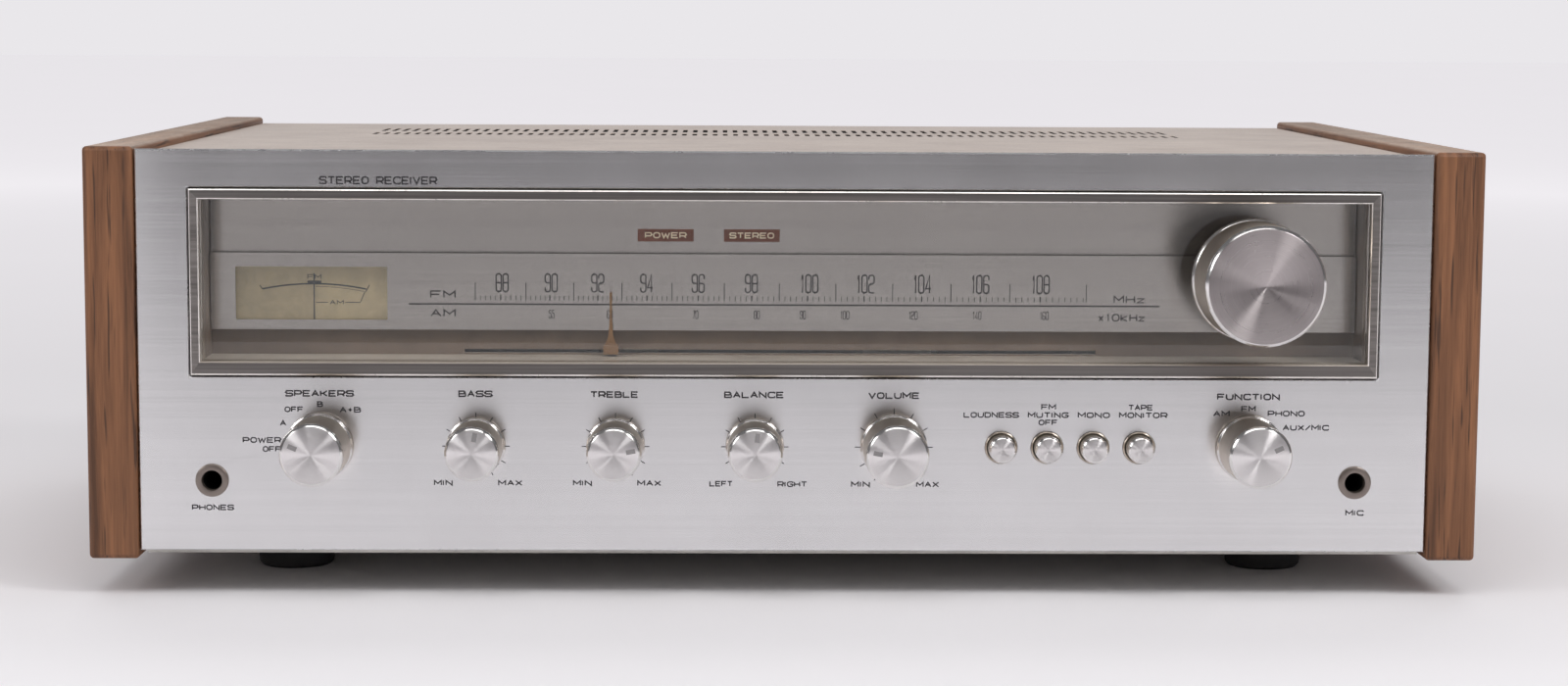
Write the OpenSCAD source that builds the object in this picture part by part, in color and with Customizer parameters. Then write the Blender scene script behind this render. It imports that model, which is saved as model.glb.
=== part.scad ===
// Stereo receiver: a tuner and amplifier between two walnut cheeks, in millimetres.
// The origin is the middle of the footprint, on the surface that the feet stand on.
// +X runs to the right as seen from the front, +Y runs to the back and +Z is up.
// Depth is the distance behind the front surface of the faceplate, and height is Z.
// A range of places is written as [from, to].

/* [Cabinet] */
// Width over both wooden cheeks
cabinet_w = 446; // [442:1:452]
// Thickness of a wooden cheek
cheek_t = 16; // [15:0.5:16]
// Height of a wooden cheek
cheek_h = 132; // [131:0.5:133]
// Length of a wooden cheek from front to back
cheek_d = 276.5; // [276:0.5:279]
// Gap between the cheeks and the surface that the feet stand on
cheek_lift = 12; // [10:0.5:12]
// Radius of the cheeks' rounded edges
cheek_round = 1.5; // [0.5:0.1:2]
// Thickness of the steel sheet of the pan, the cover and the rear panel
sheet_t = 1.2; // [1:0.1:1.4]
// Columns of ventilation slots in the top cover
vent_columns = 79; // [21:2:79]
// Distance from one ventilation slot to the next
vent_pitch = 3.85; // [3.7:0.05:3.9]
// Width of a ventilation slot
vent_w = 1.7; // [1:0.1:2]

/* [Faceplate] */
// Thickness of the faceplate
face_t = 3; // [2.5:0.1:3.5]
// Height of the faceplate's lower edge
face_low = 14.9; // [14.5:0.1:15.5]
// Height of the faceplate's upper edge
face_high = 143.2; // [142:0.1:143.5]
// Clear width of the dial window
window_w = 373.2; // [373:0.1:374]
// Height of the dial window's lower edge
window_low = 75.7; // [75.5:0.1:76]
// Height of the dial window's upper edge
window_high = 127.5; // [127.3:0.1:128]
// Width of the bezel's side and top bars
bezel_bar = 3; // [2.5:0.1:3.2]
// Width of the bezel's bottom bar
bezel_sill = 4.3; // [4:0.1:4.6]
// Distance that the bezel stands out of the faceplate
bezel_proud = 0.8; // [0.4:0.1:1.2]

/* [Dial] */
// Depth of the glass's front surface
glass_depth = 2; // [2:0.1:2.4]
// Depth of the scale plate's front surface
scale_depth = 20; // [19.6:0.1:20.2]
// Height of the scale plate's upper edge
scale_top = 109; // [108.8:0.1:109.4]
// Left and right edges of the meter window
meter_x = [-178.2, -129.2];
// Lower and upper edges of the meter window
meter_z = [87.3, 104.5];
// Height of the meter needle's pivot
needle_pivot_z = 66; // [65.5:0.1:66.5]
// Place of the dial pointer across the dial at rest
pointer_x = -56.7; // [-60:0.1:-50]

/* [Tuning] */
// Place of the tuning knob's axis across the front
tuning_x = 149.3; // [149:0.1:150]
// Height of the tuning knob's axis
tuning_z = 102.8; // [102.5:0.1:103]
// Radius of the tuning knob's base
tuning_r = 19.8; // [19:0.1:20.5]
// Distance from the faceplate to the tuning knob's face
knob_reach = 23; // [22:0.5:25]

/* [Controls] */
// Height of the row of knobs and buttons
row_z = 48.7; // [48:0.1:49]
// Distance of the two switch knobs from the middle
switch_x = 149; // [148.5:0.1:149.5]
// Place of the leftmost tone knob
tone_x = -99.2; // [-100:0.1:-99]
// Distance from one tone knob to the next
tone_pitch = 44.6; // [44:0.1:44.8]
// Place of the leftmost push button
button_x = 69.1; // [69:0.1:69.5]
// Distance from one push button to the next
button_pitch = 14.8; // [14.5:0.1:15]
// Travel of a push button
button_travel = 3.5; // [2:0.5:4]
// Distance of the two jacks from the middle
jack_x = 183.4; // [183:0.1:184]
// Height of the two jacks
jack_z = 37.5; // [37:0.1:38]
// Radius of the bore of the two jacks
jack_r = 3.2; // [3.2:0.05:3.25]

/* [Rear] */
// Distance that the rear fittings stand behind the cheeks
rear_reach = 16; // [16:0.5:18]
// Radius of a phono socket's outer shell
socket_r = 4.15; // [4.1:0.05:4.2]
// Length of the rod antenna
antenna_l = 150; // [120:5:160]

/* [Hidden] */
$fn = 96;

overall_d = knob_reach + cheek_d - 0.5 + rear_reach;
front_y = knob_reach - overall_d / 2;
inner_x = cabinet_w / 2 - cheek_t;
face_x = inner_x - 0.5;
pan_x = inner_x - 1.9;
pan_z = cheek_lift + 1.5;
pan_front = face_t + 0.5;
cover_z = cheek_lift + cheek_h - 2.5;
cover_back = cheek_d - 1.7;
wall_top = cover_z - sheet_t - 0.4;
subpanel = [12, 12 + sheet_t];
rear_face = cover_back - 0.6;
rear_depth = [rear_face - sheet_t, rear_face];
vent_rows = [[170, 187], [200, 226]];

window_x = window_w / 2;
plate_x = window_x - 0.3;
bezel_x = window_x + bezel_bar;
bezel_z = [window_low - bezel_sill, window_high + bezel_bar + 0.2];
groove = 0.45;
bezel_back = 10;
housing_wall = 2.8;
housing_back = [scale_depth + 3.2, scale_depth + 4.7];
upper_depth = scale_depth + 2;
scale_low = window_low + 8.4;
pointer_depth = scale_depth - 2;
pointer_travel = [-100.4, 97.5];
arm_z = [window_low + 0.8, window_low + 3.6];
neck_t = 0.8;
lamp_x = [-39, -11];
lamp_z = 115;
lamp_half = [9.1, 2.05];

rail_depth = 30;
rail_z = 80;
rail_r = 1.5;
cord_depth = 36;
cord_r = 0.4;
cord_gap = 0.05;
cord_clear = 18;
cord_low_z = 78;
drum_at = [0, 104];
drum_r = 21;
shaft_r = 3;
spool_r = 5;
bush_gap = 0.05;
idler_at = [[-114, 85], [139, 84]];
idler_r = [7, 6];
post_r = 2;
rest_turn = 40;

tone_places = [for (i = [0:3]) tone_x + i * tone_pitch];
button_places = [for (i = [0:3]) button_x + i * button_pitch];
wall_hole_r = 3.8;
button_r = 4.3;
ring_bore = 4.6;
foot_places = [for (x = [-165, 165], depth = [60, 235]) [x, depth]];
screw_r = 1.6;
strip_pitch = 11;
antenna_bar_r = 4.6;
antenna_depth = cheek_d - 0.5 + rear_reach - antenna_bar_r;
antenna_z = 116;
antenna_pivot_x = 176;
pin_r = 2;

// ---------------------------------------------------------------- shared shapes

// A box from ranges of place across, depth and height
module block(across, depth, height) {
  translate([across[0], front_y + depth[0], height[0]])
    cube([across[1] - across[0], depth[1] - depth[0], height[1] - height[0]]);
}

// A round rod from front to back over a range of depth
module rod(x, z, depth, r) {
  translate([x, front_y + depth[0], z])
    rotate([-90, 0, 0])
      cylinder(h = depth[1] - depth[0], r = r);
}

// A flat outline, drawn as it is seen from the front, made solid over a range of depth
module slab(depth) {
  translate([0, front_y + depth[1], 0])
    rotate([90, 0, 0])
      linear_extrude(depth[1] - depth[0])
        children();
}

// A turned piece on an axis from front to back; its outline is [radius, depth] points
module turned(x, z, outline) {
  translate([x, front_y, z])
    rotate([-90, 0, 0])
      rotate_extrude()
        polygon(outline);
}

// A flat rectangle from a range across and a range of height
module pane(across, height) {
  translate([across[0], height[0]])
    square([across[1] - across[0], height[1] - height[0]]);
}

// A hexagonal nut round an axis from front to back
module hex_nut(x, z, depth, flat_r, bore_r) {
  slab(depth)
    translate([x, z])
      difference() {
        circle(r = flat_r, $fn = 6);
        circle(r = bore_r);
      }
}

// A pan-head screw whose head stands behind a surface at the given depth
module rear_screw(x, z, depth, head_r) {
  difference() {
    turned(x, z, [[0, depth - 3], [screw_r, depth - 3], [screw_r, depth],
      [head_r, depth], [head_r, depth + 0.9], [head_r * 0.6, depth + 1.8], [0, depth + 1.8]]);
    block([x - head_r * 0.6, x + head_r * 0.6], [depth + 1, depth + 2], [z - 0.35, z + 0.35]);
    block([x - 0.35, x + 0.35], [depth + 1, depth + 2], [z - head_r * 0.6, z + head_r * 0.6]);
  }
}

// ---------------------------------------------------------------- cabinet

// The steel pan: a floor and two side walls, with foot holes and air slots
module chassis_pan() {
  color("silver")
  difference() {
    union() {
      block([-pan_x, pan_x], [pan_front, rear_depth[0] - 0.1], [pan_z, pan_z + sheet_t]);
      for (side = [-1, 1])
        block(side > 0 ? [pan_x - sheet_t, pan_x] : [-pan_x, sheet_t - pan_x],
          [pan_front, rear_depth[0] - 0.1], [pan_z, wall_top]);
    }
    for (place = foot_places)
      translate([place[0], front_y + place[1], pan_z - 1])
        cylinder(h = sheet_t + 2, r = screw_r + 0.2);
    for (column = [-9:9])
      block([column * 9 - 1.5, column * 9 + 1.5], [120, 170], [pan_z - 1, pan_z + sheet_t + 1]);
  }
}

// The rear panel, with an opening behind each of its fittings
module rear_panel() {
  color("silver")
  slab(rear_depth)
    difference() {
      pane([0.1 - pan_x, pan_x - 0.1], [pan_z, wall_top]);
      pane([-176, -64], [40, 64]);
      pane([-46, 38], [47, 57]);
      pane([-26, 18], [88, 96]);
      pane([66, 124], [36, 58]);
      translate([176, 44])
        circle(r = 6.1);
      for (x = [-196, -60, 60, 196])
        translate([x, 132])
          circle(r = screw_r + 0.1);
    }
}

// The top cover: a vented top with folded side and rear edges
module top_cover() {
  color("#6b4a35")
  difference() {
    union() {
      block([0.4 - inner_x, inner_x - 0.4], [face_t + 0.3, cover_back],
        [cover_z - sheet_t, cover_z]);
      for (side = [-1, 1])
        block(side > 0 ? [inner_x - 0.4 - sheet_t, inner_x - 0.4]
            : [0.4 - inner_x, 0.4 + sheet_t - inner_x],
          [face_t + 0.3, cover_back], [cover_z - 14, cover_z]);
      block([0.4 - inner_x, inner_x - 0.4], [rear_face + 0.1, cover_back],
        [cover_z - 12, cover_z]);
    }
    for (row = vent_rows, column = [0:vent_columns - 1])
      let (x = (column - (vent_columns - 1) / 2) * vent_pitch)
        block([x - vent_w / 2, x + vent_w / 2], row, [cover_z - sheet_t - 1, cover_z + 1]);
    for (x = [-196, -60, 60, 196])
      rod(x, 132, [rear_face - 1, cover_back + 1], screw_r + 0.1);
  }
}

// A walnut cheek with rounded edges; its outline is drawn as it is seen from the front
module cheek(side) {
  low = cheek_lift;
  high = cheek_lift + cheek_h;
  inner = 0;
  outer = cheek_t;
  r = cheek_round;
  translate([side > 0 ? inner_x : -inner_x - cheek_t, 0, 0])
    slab([-0.5, cheek_d - 0.5])
      union() {
        pane([inner, outer], [low + r, high - r]);
        pane([inner + r, outer - r], [low, high]);
        for (x = [inner + r, outer - r], z = [low + r, high - r])
          translate([x, z])
            circle(r = r);
      }
}

module left_cheek() {
  color("#7b5138") cheek(-1);
}

module right_cheek() {
  color("#7b5138") cheek(1);
}

// The brushed faceplate with its window and its holes
module faceplate() {
  color("#c9c8c8")
  slab([0, face_t])
    difference() {
      pane([-face_x, face_x], [face_low, face_high]);
      pane([-bezel_x - groove, bezel_x + groove],
        [bezel_z[0] - groove, bezel_z[1] + groove]);
      for (x = concat([-switch_x, switch_x], tone_places))
        translate([x, row_z])
          circle(r = wall_hole_r);
      for (x = button_places)
        translate([x, row_z])
          circle(r = 5);
      for (x = [-jack_x, jack_x])
        translate([x, jack_z])
          circle(r = 4.8);
    }
}

// The steel panel behind the faceplate that carries the controls and the dial housing
module front_subpanel() {
  color("gainsboro")
  difference() {
    union() {
      slab(subpanel)
        difference() {
          pane([sheet_t + 0.1 - pan_x, pan_x - sheet_t - 0.1],
            [pan_z + sheet_t + 0.1, wall_top]);
          pane([-bezel_x - 0.4, bezel_x + 0.4], [bezel_z[0] - 0.4, bezel_z[1] + 0.6]);
          for (x = concat([-switch_x, switch_x], tone_places))
            translate([x, row_z])
              circle(r = 4);
          for (x = button_places)
            translate([x, row_z])
              circle(r = 3);
          for (x = [-jack_x, jack_x])
            translate([x, jack_z])
              square(17, center = true);
        }
      block([-170, 170], [subpanel[1], subpanel[1] + 10],
        [pan_z + sheet_t + 0.1, pan_z + 2 * sheet_t + 0.1]);
    }
    for (x = [-150, -50, 50, 150])
      translate([x, front_y + subpanel[1] + 6, pan_z])
        cylinder(h = 6, r = screw_r);
  }
}

// Four rubber feet, each with a well for its screw
module feet() {
  color("#252321")
  for (place = foot_places)
    translate([place[0], front_y + place[1], 0])
      rotate_extrude()
        polygon([[4.5, 0], [11.5, 0], [12.5, 1], [14, pan_z], [2, pan_z],
          [2, 6], [4.5, 6]]);
}

// The screws of the rear edge and of the feet
module case_screws() {
  color("dimgray") {
    for (x = [-196, -60, 60, 196])
      rear_screw(x, 132, cover_back, 3.2);
    for (place = foot_places)
      translate([place[0], front_y + place[1], 3.4])
        rotate_extrude()
          polygon([[0, 0], [3.6, 0], [3.6, 2.4], [screw_r, 2.4],
            [screw_r, pan_z + 2], [0, pan_z + 2]]);
  }
}

// ---------------------------------------------------------------- dial

// The metal frame round the dial window
module dial_bezel() {
  color("#5b5754")
  slab([-bezel_proud, bezel_back])
    difference() {
      pane([-bezel_x, bezel_x], bezel_z);
      pane([-window_x, window_x], [window_low, window_high]);
    }
}

// The clear window, with a hole for the tuning shaft
module dial_glass() {
  color("lightcyan", 0.3)
  slab([glass_depth, glass_depth + 2])
    difference() {
      pane([0.15 - window_x, window_x - 0.15], [window_low + 0.15, window_high - 0.15]);
      translate([tuning_x, tuning_z])
        circle(r = 4.2);
    }
}

// The dark dial housing: four walls, a pierced back, the shaft bush and the pulley posts
module dial_housing() {
  outer = window_x + housing_wall;
  color("#2c2724")
  difference() {
    union() {
      slab([bezel_back, housing_back[1]])
        difference() {
          pane([-outer, outer], [window_low - housing_wall, window_high + housing_wall]);
          pane([-window_x, window_x], [window_low, window_high]);
        }
      slab(housing_back)
        difference() {
          pane([-window_x - 1, window_x + 1], [window_low - 1, window_high + 1]);
          pane([meter_x[0] - 4, meter_x[1] + 4], [meter_z[0] - 2.3, meter_z[1] + 2]);
          pane([-104.6, 101.8], [arm_z[0] - 0.2, arm_z[0] + neck_t + 0.2]);
          for (x = lamp_x)
            translate([x, lamp_z])
              square([18.8, 4.8], center = true);
        }
      for (x = [-window_x + 1, window_x - 3])
        block([x, x + 2], [scale_depth + 1, housing_back[0]], [scale_low + 1, scale_top - 2]);
      rod(tuning_x, tuning_z, [housing_back[0], 33], 6);
      for (i = [0:1])
        rod(idler_at[i][0], idler_at[i][1], [housing_back[1] - 0.5, 39.5], post_r);
      for (x = [-111.5, 105.5])
        block([x, x + 3], [housing_back[1] - 0.5, 31.9], [77.4, 82.6]);
    }
    rod(tuning_x, tuning_z, [bezel_back, 40], shaft_r + bush_gap);
    translate([-110.5, front_y + rail_depth, rail_z])
      rotate([0, 90, 0])
        cylinder(h = 218, r = rail_r);
  }
}

// The printed plate with the two frequency scales and the meter window
module scale_plate() {
  color("#8a8380")
  slab([scale_depth, scale_depth + 1])
    difference() {
      pane([-plate_x, plate_x], [scale_low, scale_top]);
      pane(meter_x, meter_z);
      translate([tuning_x, tuning_z])
        circle(r = 5);
    }
}

// The plate above the scale, with two openings for the indicators
module upper_dial_panel() {
  color("#8f8986")
  slab([upper_depth, upper_depth + 1.1])
    difference() {
      pane([-plate_x, plate_x], [scale_top - 2, window_high - 0.3]);
      for (x = lamp_x)
        translate([x, lamp_z])
          square(2 * lamp_half, center = true);
      translate([tuning_x, tuning_z])
        circle(r = 6.5);
    }
}

// The two lit brown windows
module indicator_windows() {
  color("#5a2812")
  for (x = lamp_x)
    slab([upper_depth + 0.1, upper_depth + 2.4])
      translate([x, lamp_z])
        square(2 * lamp_half - [0.1, 0.1], center = true);
}

// Five small lamps: one behind each indicator and three above the dial
module dial_lamps() {
  color("#d8c9a0") {
    for (x = lamp_x)
      turned(x, lamp_z, [[0, 25.4], [1.5, 25.8], [2, 27], [2, 29], [2.6, 29], [2.6, 33.4],
        [0, 33.4]]);
    for (x = [-90, 60, 110])
      turned(x, 120, [[0, 25.4], [1.8, 26], [2.2, 27], [2.2, 30], [3, 30], [3, 40], [0, 40]]);
  }
}

// The meter's case: an open-fronted box with the magnet on its back wall
module meter_case() {
  across = [meter_x[0] - 3.2, meter_x[1] + 3.2];
  height = [60.4, meter_z[1] + 1.8];
  wall = 1;
  mid = (across[0] + across[1]) / 2;
  color("#34302c")
  difference() {
    union() {
      difference() {
        block(across, [24.9, 44], height);
        block([across[0] + wall, across[1] - wall], [24, 42.8],
          [height[0] + wall, height[1] - wall]);
      }
      block([mid - 9, mid + 9], [31.5, 43], [height[0] + 0.5, 74]);
      rod(mid, needle_pivot_z, [28.4, 32], 1.6);
      block(across, [24.9, 26], [height[0], meter_z[0] - 4.5]);
    }
    rod(mid, needle_pivot_z, [20, 34], 0.85);
  }
}

// The printed card behind the needle
module meter_card() {
  color("#8f8468")
  slab([27.6, 28.2])
    pane([meter_x[0] - 2, meter_x[1] + 2], [meter_z[0] - 4, meter_z[1] + 0.6]);
}

// The clear front of the meter
module meter_lens() {
  color("lightcyan", 0.3)
  slab([21.3, 22.1])
    pane([meter_x[0] - 1.6, meter_x[1] + 1.6], [meter_z[0] - 1.4, meter_z[1] + 1.4]);
}

// The needle, its hub and its counterweight
module meter_needle() {
  mid = (meter_x[0] + meter_x[1]) / 2;
  color("black") {
    slab([26.6, 26.9])
      pane([mid - 0.2, mid + 0.2], [needle_pivot_z - 3.5, needle_pivot_z + 35.8]);
    rod(mid, needle_pivot_z, [26.4, 33], 0.8);
    rod(mid, needle_pivot_z - 2.9, [26.5, 27.3], 0.9);
  }
}

// ---------------------------------------------------------------- cord drive

// The rod that the pointer slides along
module pointer_rail() {
  color("silver")
  translate([-110.5, front_y + rail_depth, rail_z])
    rotate([0, 90, 0])
      cylinder(h = 218, r = rail_r);
}

// The pointer: a fine stem on a base in the dial, a thin neck through the slot and a carriage on
// the rail
module dial_pointer() {
  base = pointer_depth;
  color("#8a5a33")
  difference() {
    union() {
      slab([base - 0.3, base + 0.3])
        translate([pointer_x, 0])
          polygon([[-2.4, arm_z[0]], [2.4, arm_z[0]], [2.4, arm_z[1]], [1.6, arm_z[1] + 0.9],
            [0.75, arm_z[1] + 3.2], [0.35, arm_z[1] + 9], [0.35, 96.6], [-0.35, 96.6],
            [-0.35, arm_z[1] + 9], [-0.75, arm_z[1] + 3.2], [-1.6, arm_z[1] + 0.9],
            [-2.4, arm_z[1]]]);
      block([pointer_x - 2.4, pointer_x + 2.4], [base - 0.9, housing_back[0] - 1], arm_z);
      block([pointer_x - 2.4, pointer_x + 2.4], [base, 28], [arm_z[0], arm_z[0] + neck_t]);
      block([pointer_x - 4, pointer_x + 4], [27.5, 32.6], [76.9, 83]);
      block([pointer_x - 3, pointer_x + 3], [32.5, cord_depth + 1.4], [76.7, 79.3]);
    }
    translate([pointer_x - 10, front_y + rail_depth, rail_z])
      rotate([0, 90, 0])
        cylinder(h = 20, r = rail_r + bush_gap);
    translate([pointer_x - 10, front_y + cord_depth, cord_low_z])
      rotate([0, 90, 0])
        cylinder(h = 20, r = cord_r + 0.35);
  }
}

// A straight run of cord between two [across, height] places, just short of the bends
module cord_run(from, to) {
  run = to - from;
  translate([from[0], front_y + cord_depth, from[1]])
    rotate([0, 90 - atan2(run[1], run[0]), 0])
      translate([0, 0, cord_gap])
        cylinder(h = norm(run) - 2 * cord_gap, r = cord_r);
}

// A stretch of cord round a pulley, from one angle through a sweep, 0 being +X
module cord_bend(at, radius, start, sweep) {
  translate([at[0], front_y + cord_depth, at[1]])
    rotate([90, 0, 0])
      rotate([0, 0, start])
        rotate_extrude(angle = sweep)
          translate([radius, 0])
            circle(r = cord_r, $fn = 16);
}

// A place on a circle, and the side of the line from one circle to another
function on_circle(at, radius, angle) = at + radius * [cos(angle), sin(angle)];
function heading(from, to) = atan2(to[1] - from[1], to[0] - from[0]);

// The loop of dial cord round the drum, the two idlers and the tuning shaft. Its full turn
// round the drum stops short of the two runs that leave the drum's top.
module dial_cord() {
  spool = [tuning_x, tuning_z];
  left = idler_at[0];
  right = idler_at[1];
  to_spool = heading(drum_at, spool) + acos((drum_r + spool_r) / norm(spool - drum_at));
  to_left = 360 + heading(drum_at, left) - acos((drum_r - idler_r[0]) / norm(left - drum_at));
  up_right = heading(right, spool) - acos((idler_r[1] + spool_r) / norm(spool - right));
  color("#1c1b1a") {
    cord_bend(drum_at, drum_r, to_spool, to_left - to_spool);
    cord_bend(drum_at, drum_r, to_left + cord_clear, 360 + to_spool - to_left - 2 * cord_clear);
    cord_run(on_circle(drum_at, drum_r, to_left), on_circle(left, idler_r[0], to_left));
    cord_bend(left, idler_r[0], to_left, 270 - to_left);
    cord_run([left[0], cord_low_z], [right[0], cord_low_z]);
    cord_bend(right, idler_r[1], -90, 90 + up_right);
    cord_run(on_circle(right, idler_r[1], up_right), on_circle(spool, -spool_r, up_right));
    cord_bend(spool, spool_r, to_spool - 180, up_right + 360 - to_spool);
    cord_run(on_circle(spool, -spool_r, to_spool), on_circle(drum_at, drum_r, to_spool));
  }
}

// The outline of a grooved wheel whose groove clears the cord
function wheel_outline(bore, cord_at, flange, half) = [
  [bore, cord_depth - half], [flange, cord_depth - half], [flange, cord_depth - half + 0.7],
  [cord_at - cord_r - 0.5, cord_depth - 0.9], [cord_at - cord_r - 0.5, cord_depth + 0.9],
  [flange, cord_depth + half - 0.7], [flange, cord_depth + half], [bore, cord_depth + half]];

// The large drum on the tuning capacitor's shaft
module dial_drum() {
  color("#e6e0d2")
  difference() {
    turned(drum_at[0], drum_at[1], wheel_outline(3.05, drum_r, drum_r + 1.5, 2));
    for (turn = [0:90:270])
      translate([drum_at[0], 0, drum_at[1]])
        rotate([0, turn + rest_turn, 0])
          translate([-drum_at[0], 0, -drum_at[1]])
            rod(drum_at[0] + 11.5, drum_at[1], [cord_depth - 5, cord_depth + 5], 4.5);
  }
}

module idler(i) {
  turned(idler_at[i][0], idler_at[i][1],
    wheel_outline(post_r + bush_gap, idler_r[i], idler_r[i] + 1.4, 1.8));
}

module left_idler_pulley() {
  color("ivory") idler(0);
}

module right_idler_pulley() {
  color("ivory") idler(1);
}

// The tuning shaft, with the spool that the cord wraps
module tuning_shaft() {
  color("silver")
  turned(tuning_x, tuning_z, [[0, -16.6], [shaft_r, -16.6], [shaft_r, 34], [6, 34], [6, 34.8],
    [spool_r - cord_r - 0.4, 35.1], [spool_r - cord_r - 0.4, 36.9], [6, 37.2], [6, 38],
    [shaft_r, 38], [shaft_r, 54], [0, 54]]);
}

// The flywheel on the back of the tuning shaft
module flywheel() {
  color("gray")
  turned(tuning_x, tuning_z, [[shaft_r, 42], [8, 42], [8, 44], [15, 44], [15, 42], [22, 42],
    [22, 52], [15, 52], [15, 50], [8, 50], [8, 53], [shaft_r, 53]]);
}

// The tuning capacitor's frame, its fixed plates and the bush that carries the drum
module tuning_capacitor() {
  x = drum_at[0];
  z = drum_at[1];
  color("lightgray")
  difference() {
    union() {
      block([x - 20, x + 20], [44, 46], [z - 20, z + 20]);
      block([x - 20, x + 20], [82, 84], [z - 20, z + 20]);
      block([x - 20, x + 20], [44, 84], [z - 21.5, z - 20]);
      for (side = [-1, 1])
        block(side > 0 ? [x + 18, x + 20] : [x - 20, x - 18], [44, 84], [z - 20, z - 17]);
      rod(x, z, [39.2, 44], 5);
      for (i = [0:7])
        block([x - 17, x + 17], [50 + 4 * i, 50.7 + 4 * i], [z - 19, z - 4]);
      block([x - 19, x - 16.5], [48, 80], [z - 20.5, z - 10]);
      block([x - 4, x + 4], [84, 86], [z - 4, z + 4]);
    }
    rod(x, z, [30, 84.5], shaft_r + bush_gap);
  }
}

// The turning plates of the capacitor, on the shaft that carries the drum
module capacitor_rotor() {
  x = drum_at[0];
  z = drum_at[1];
  color("silver")
  translate([x, 0, z])
    rotate([0, rest_turn, 0])
      translate([-x, 0, -z]) {
        rod(x, z, [33, 84], shaft_r);
        for (i = [0:6])
          difference() {
            rod(x, z, [52 + 4 * i, 52.7 + 4 * i], 15);
            block([x - 16, x + 16], [51 + 4 * i, 54 + 4 * i], [z + 3.2, z + 16]);
          }
      }
}

// ---------------------------------------------------------------- controls

// A control knob with its shaft: base flange, straight side, bevelled face and index notch
module control_knob(x, base_r, face_r, reach, index_r, angle) {
  face = -reach;
  color("#cfcac6") {
    difference() {
      turned(x, row_z, [[0, face], [face_r - 0.7, face], [face_r, face + 0.7],
        [face_r + 0.25, -3], [base_r, -2.6], [base_r, -1], [shaft_r + 0.1, -1],
        [shaft_r + 0.1, face + 6], [0, face + 6]]);
      translate([x, front_y + face, row_z])
        rotate([0, angle, 0])
          translate([-0.7, -1, index_r - 1.4])
            cube([1.4, 1.5, 2.8]);
    }
    rod(x, row_z, [face + 6.3, 16], shaft_r);
  }
}

module speakers_knob() {
  control_knob(-switch_x, 10.7, 10, 22, 6.3, -67);
}

module bass_knob() {
  control_knob(tone_places[0], 9.3, 8.5, 18.5, 5.4, 10);
}

module treble_knob() {
  control_knob(tone_places[1], 9.3, 8.5, 18.5, 5.4, 80);
}

module balance_knob() {
  control_knob(tone_places[2], 9.3, 8.5, 18.5, 5.4, 6);
}

module volume_knob() {
  control_knob(tone_places[3], 10.7, 10, 22.8, 6.3, -80);
}

module function_knob() {
  control_knob(switch_x, 10.7, 10, 22, 6.3, 65);
}

// The large tuning knob, which runs just in front of the glass
module tuning_knob() {
  base = glass_depth - 0.5;
  side_r = tuning_r - 0.7;
  color("#cfcac6")
  turned(tuning_x, tuning_z, [[0, -knob_reach], [side_r - 0.9, -knob_reach],
    [side_r, -knob_reach + 0.9], [side_r + 0.2, base - 2.4], [tuning_r, base - 2],
    [tuning_r, base], [shaft_r + 0.1, base], [shaft_r + 0.1, -17], [0, -17]]);
}

// A control's threaded bush, bored for its shaft
module bush(x) {
  difference() {
    rod(x, row_z, [5, subpanel[1]], 3.9);
    rod(x, row_z, [4, 20], shaft_r + bush_gap);
  }
}

// A two-gang potentiometer behind the subpanel
module dual_pot(x) {
  bush(x);
  difference() {
    union() {
      rod(x, row_z, [subpanel[1], 24], 8.5);
      rod(x, row_z, [25.6, 35], 8.5);
      rod(x, row_z, [24, 25.6], 5);
      for (depth = [20, 31], side = [-1, 0, 1])
        block([x + side * 4 - 0.6, x + side * 4 + 0.6], [depth - 0.3, depth + 0.3],
          [row_z - 14, row_z - 8]);
    }
    rod(x, row_z, [subpanel[0], 18], shaft_r + bush_gap);
  }
}

// The four potentiometers
module tone_control_pots() {
  color("#a9a59b")
  for (x = tone_places)
    dual_pot(x);
}

// The two rotary switches: a hub, a front plate and three wafers on two tie rods
module rotary_switches() {
  color("#b98f52")
  for (x = [-switch_x, switch_x]) {
    bush(x);
    difference() {
      union() {
        rod(x, row_z, [subpanel[1], 15], 11);
        for (depth = [20, 27, 34])
          rod(x, row_z, [depth, depth + 1.2], 11);
        for (side = [-1, 1])
          rod(x + side * 8.6, row_z, [14, 35.2], 1.2);
        rod(x, row_z, [14, 37], 4.6);
      }
      rod(x, row_z, [subpanel[0], 18], shaft_r + bush_gap);
    }
  }
}

// The nuts that hold the bushes on the subpanel
module shaft_nuts() {
  color("silver")
  for (x = concat([-switch_x, switch_x], tone_places))
    hex_nut(x, row_z, [subpanel[0] - 2.2, subpanel[0]], 6.4, 3.95);
}

// The four-gang push switch that the buttons work
module button_switch_bank() {
  across = [button_places[0] - 7, button_places[3] + 7];
  color("#d9d3c4")
  difference() {
    union() {
      for (x = button_places)
        block([x - 5.6, x + 5.6], [subpanel[1], 48], [row_z - 6, row_z + 6]);
      block(across, [15, 18], [row_z - 7, row_z + 7]);
      for (x = button_places, i = [0:5])
        block([x - 0.5, x + 0.5], [22 + 4 * i, 22.6 + 4 * i], [row_z - 10, row_z]);
    }
    for (x = button_places)
      rod(x, row_z, [subpanel[0], 27], 2.35);
  }
}

// The metal collars round the four buttons
module button_rings() {
  color("#cdbfae")
  for (x = button_places)
    turned(x, row_z, [[ring_bore, -0.8], [4.9, -0.8], [5.2, -0.5], [5.2, -0.02],
      [4.95, -0.02], [4.95, 4.2], [ring_bore, 4.2]]);
}

// A push button: a turned cap on a stem that runs into the switch
module push_button(i) {
  color("#cfcac6")
  turned(button_places[i], row_z, [[0, -6.5], [button_r - 0.5, -6.5], [button_r, -6],
    [button_r, 3], [2, 3], [2, 21], [0, 21]]);
}

module loudness_button() {
  push_button(0);
}

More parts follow.
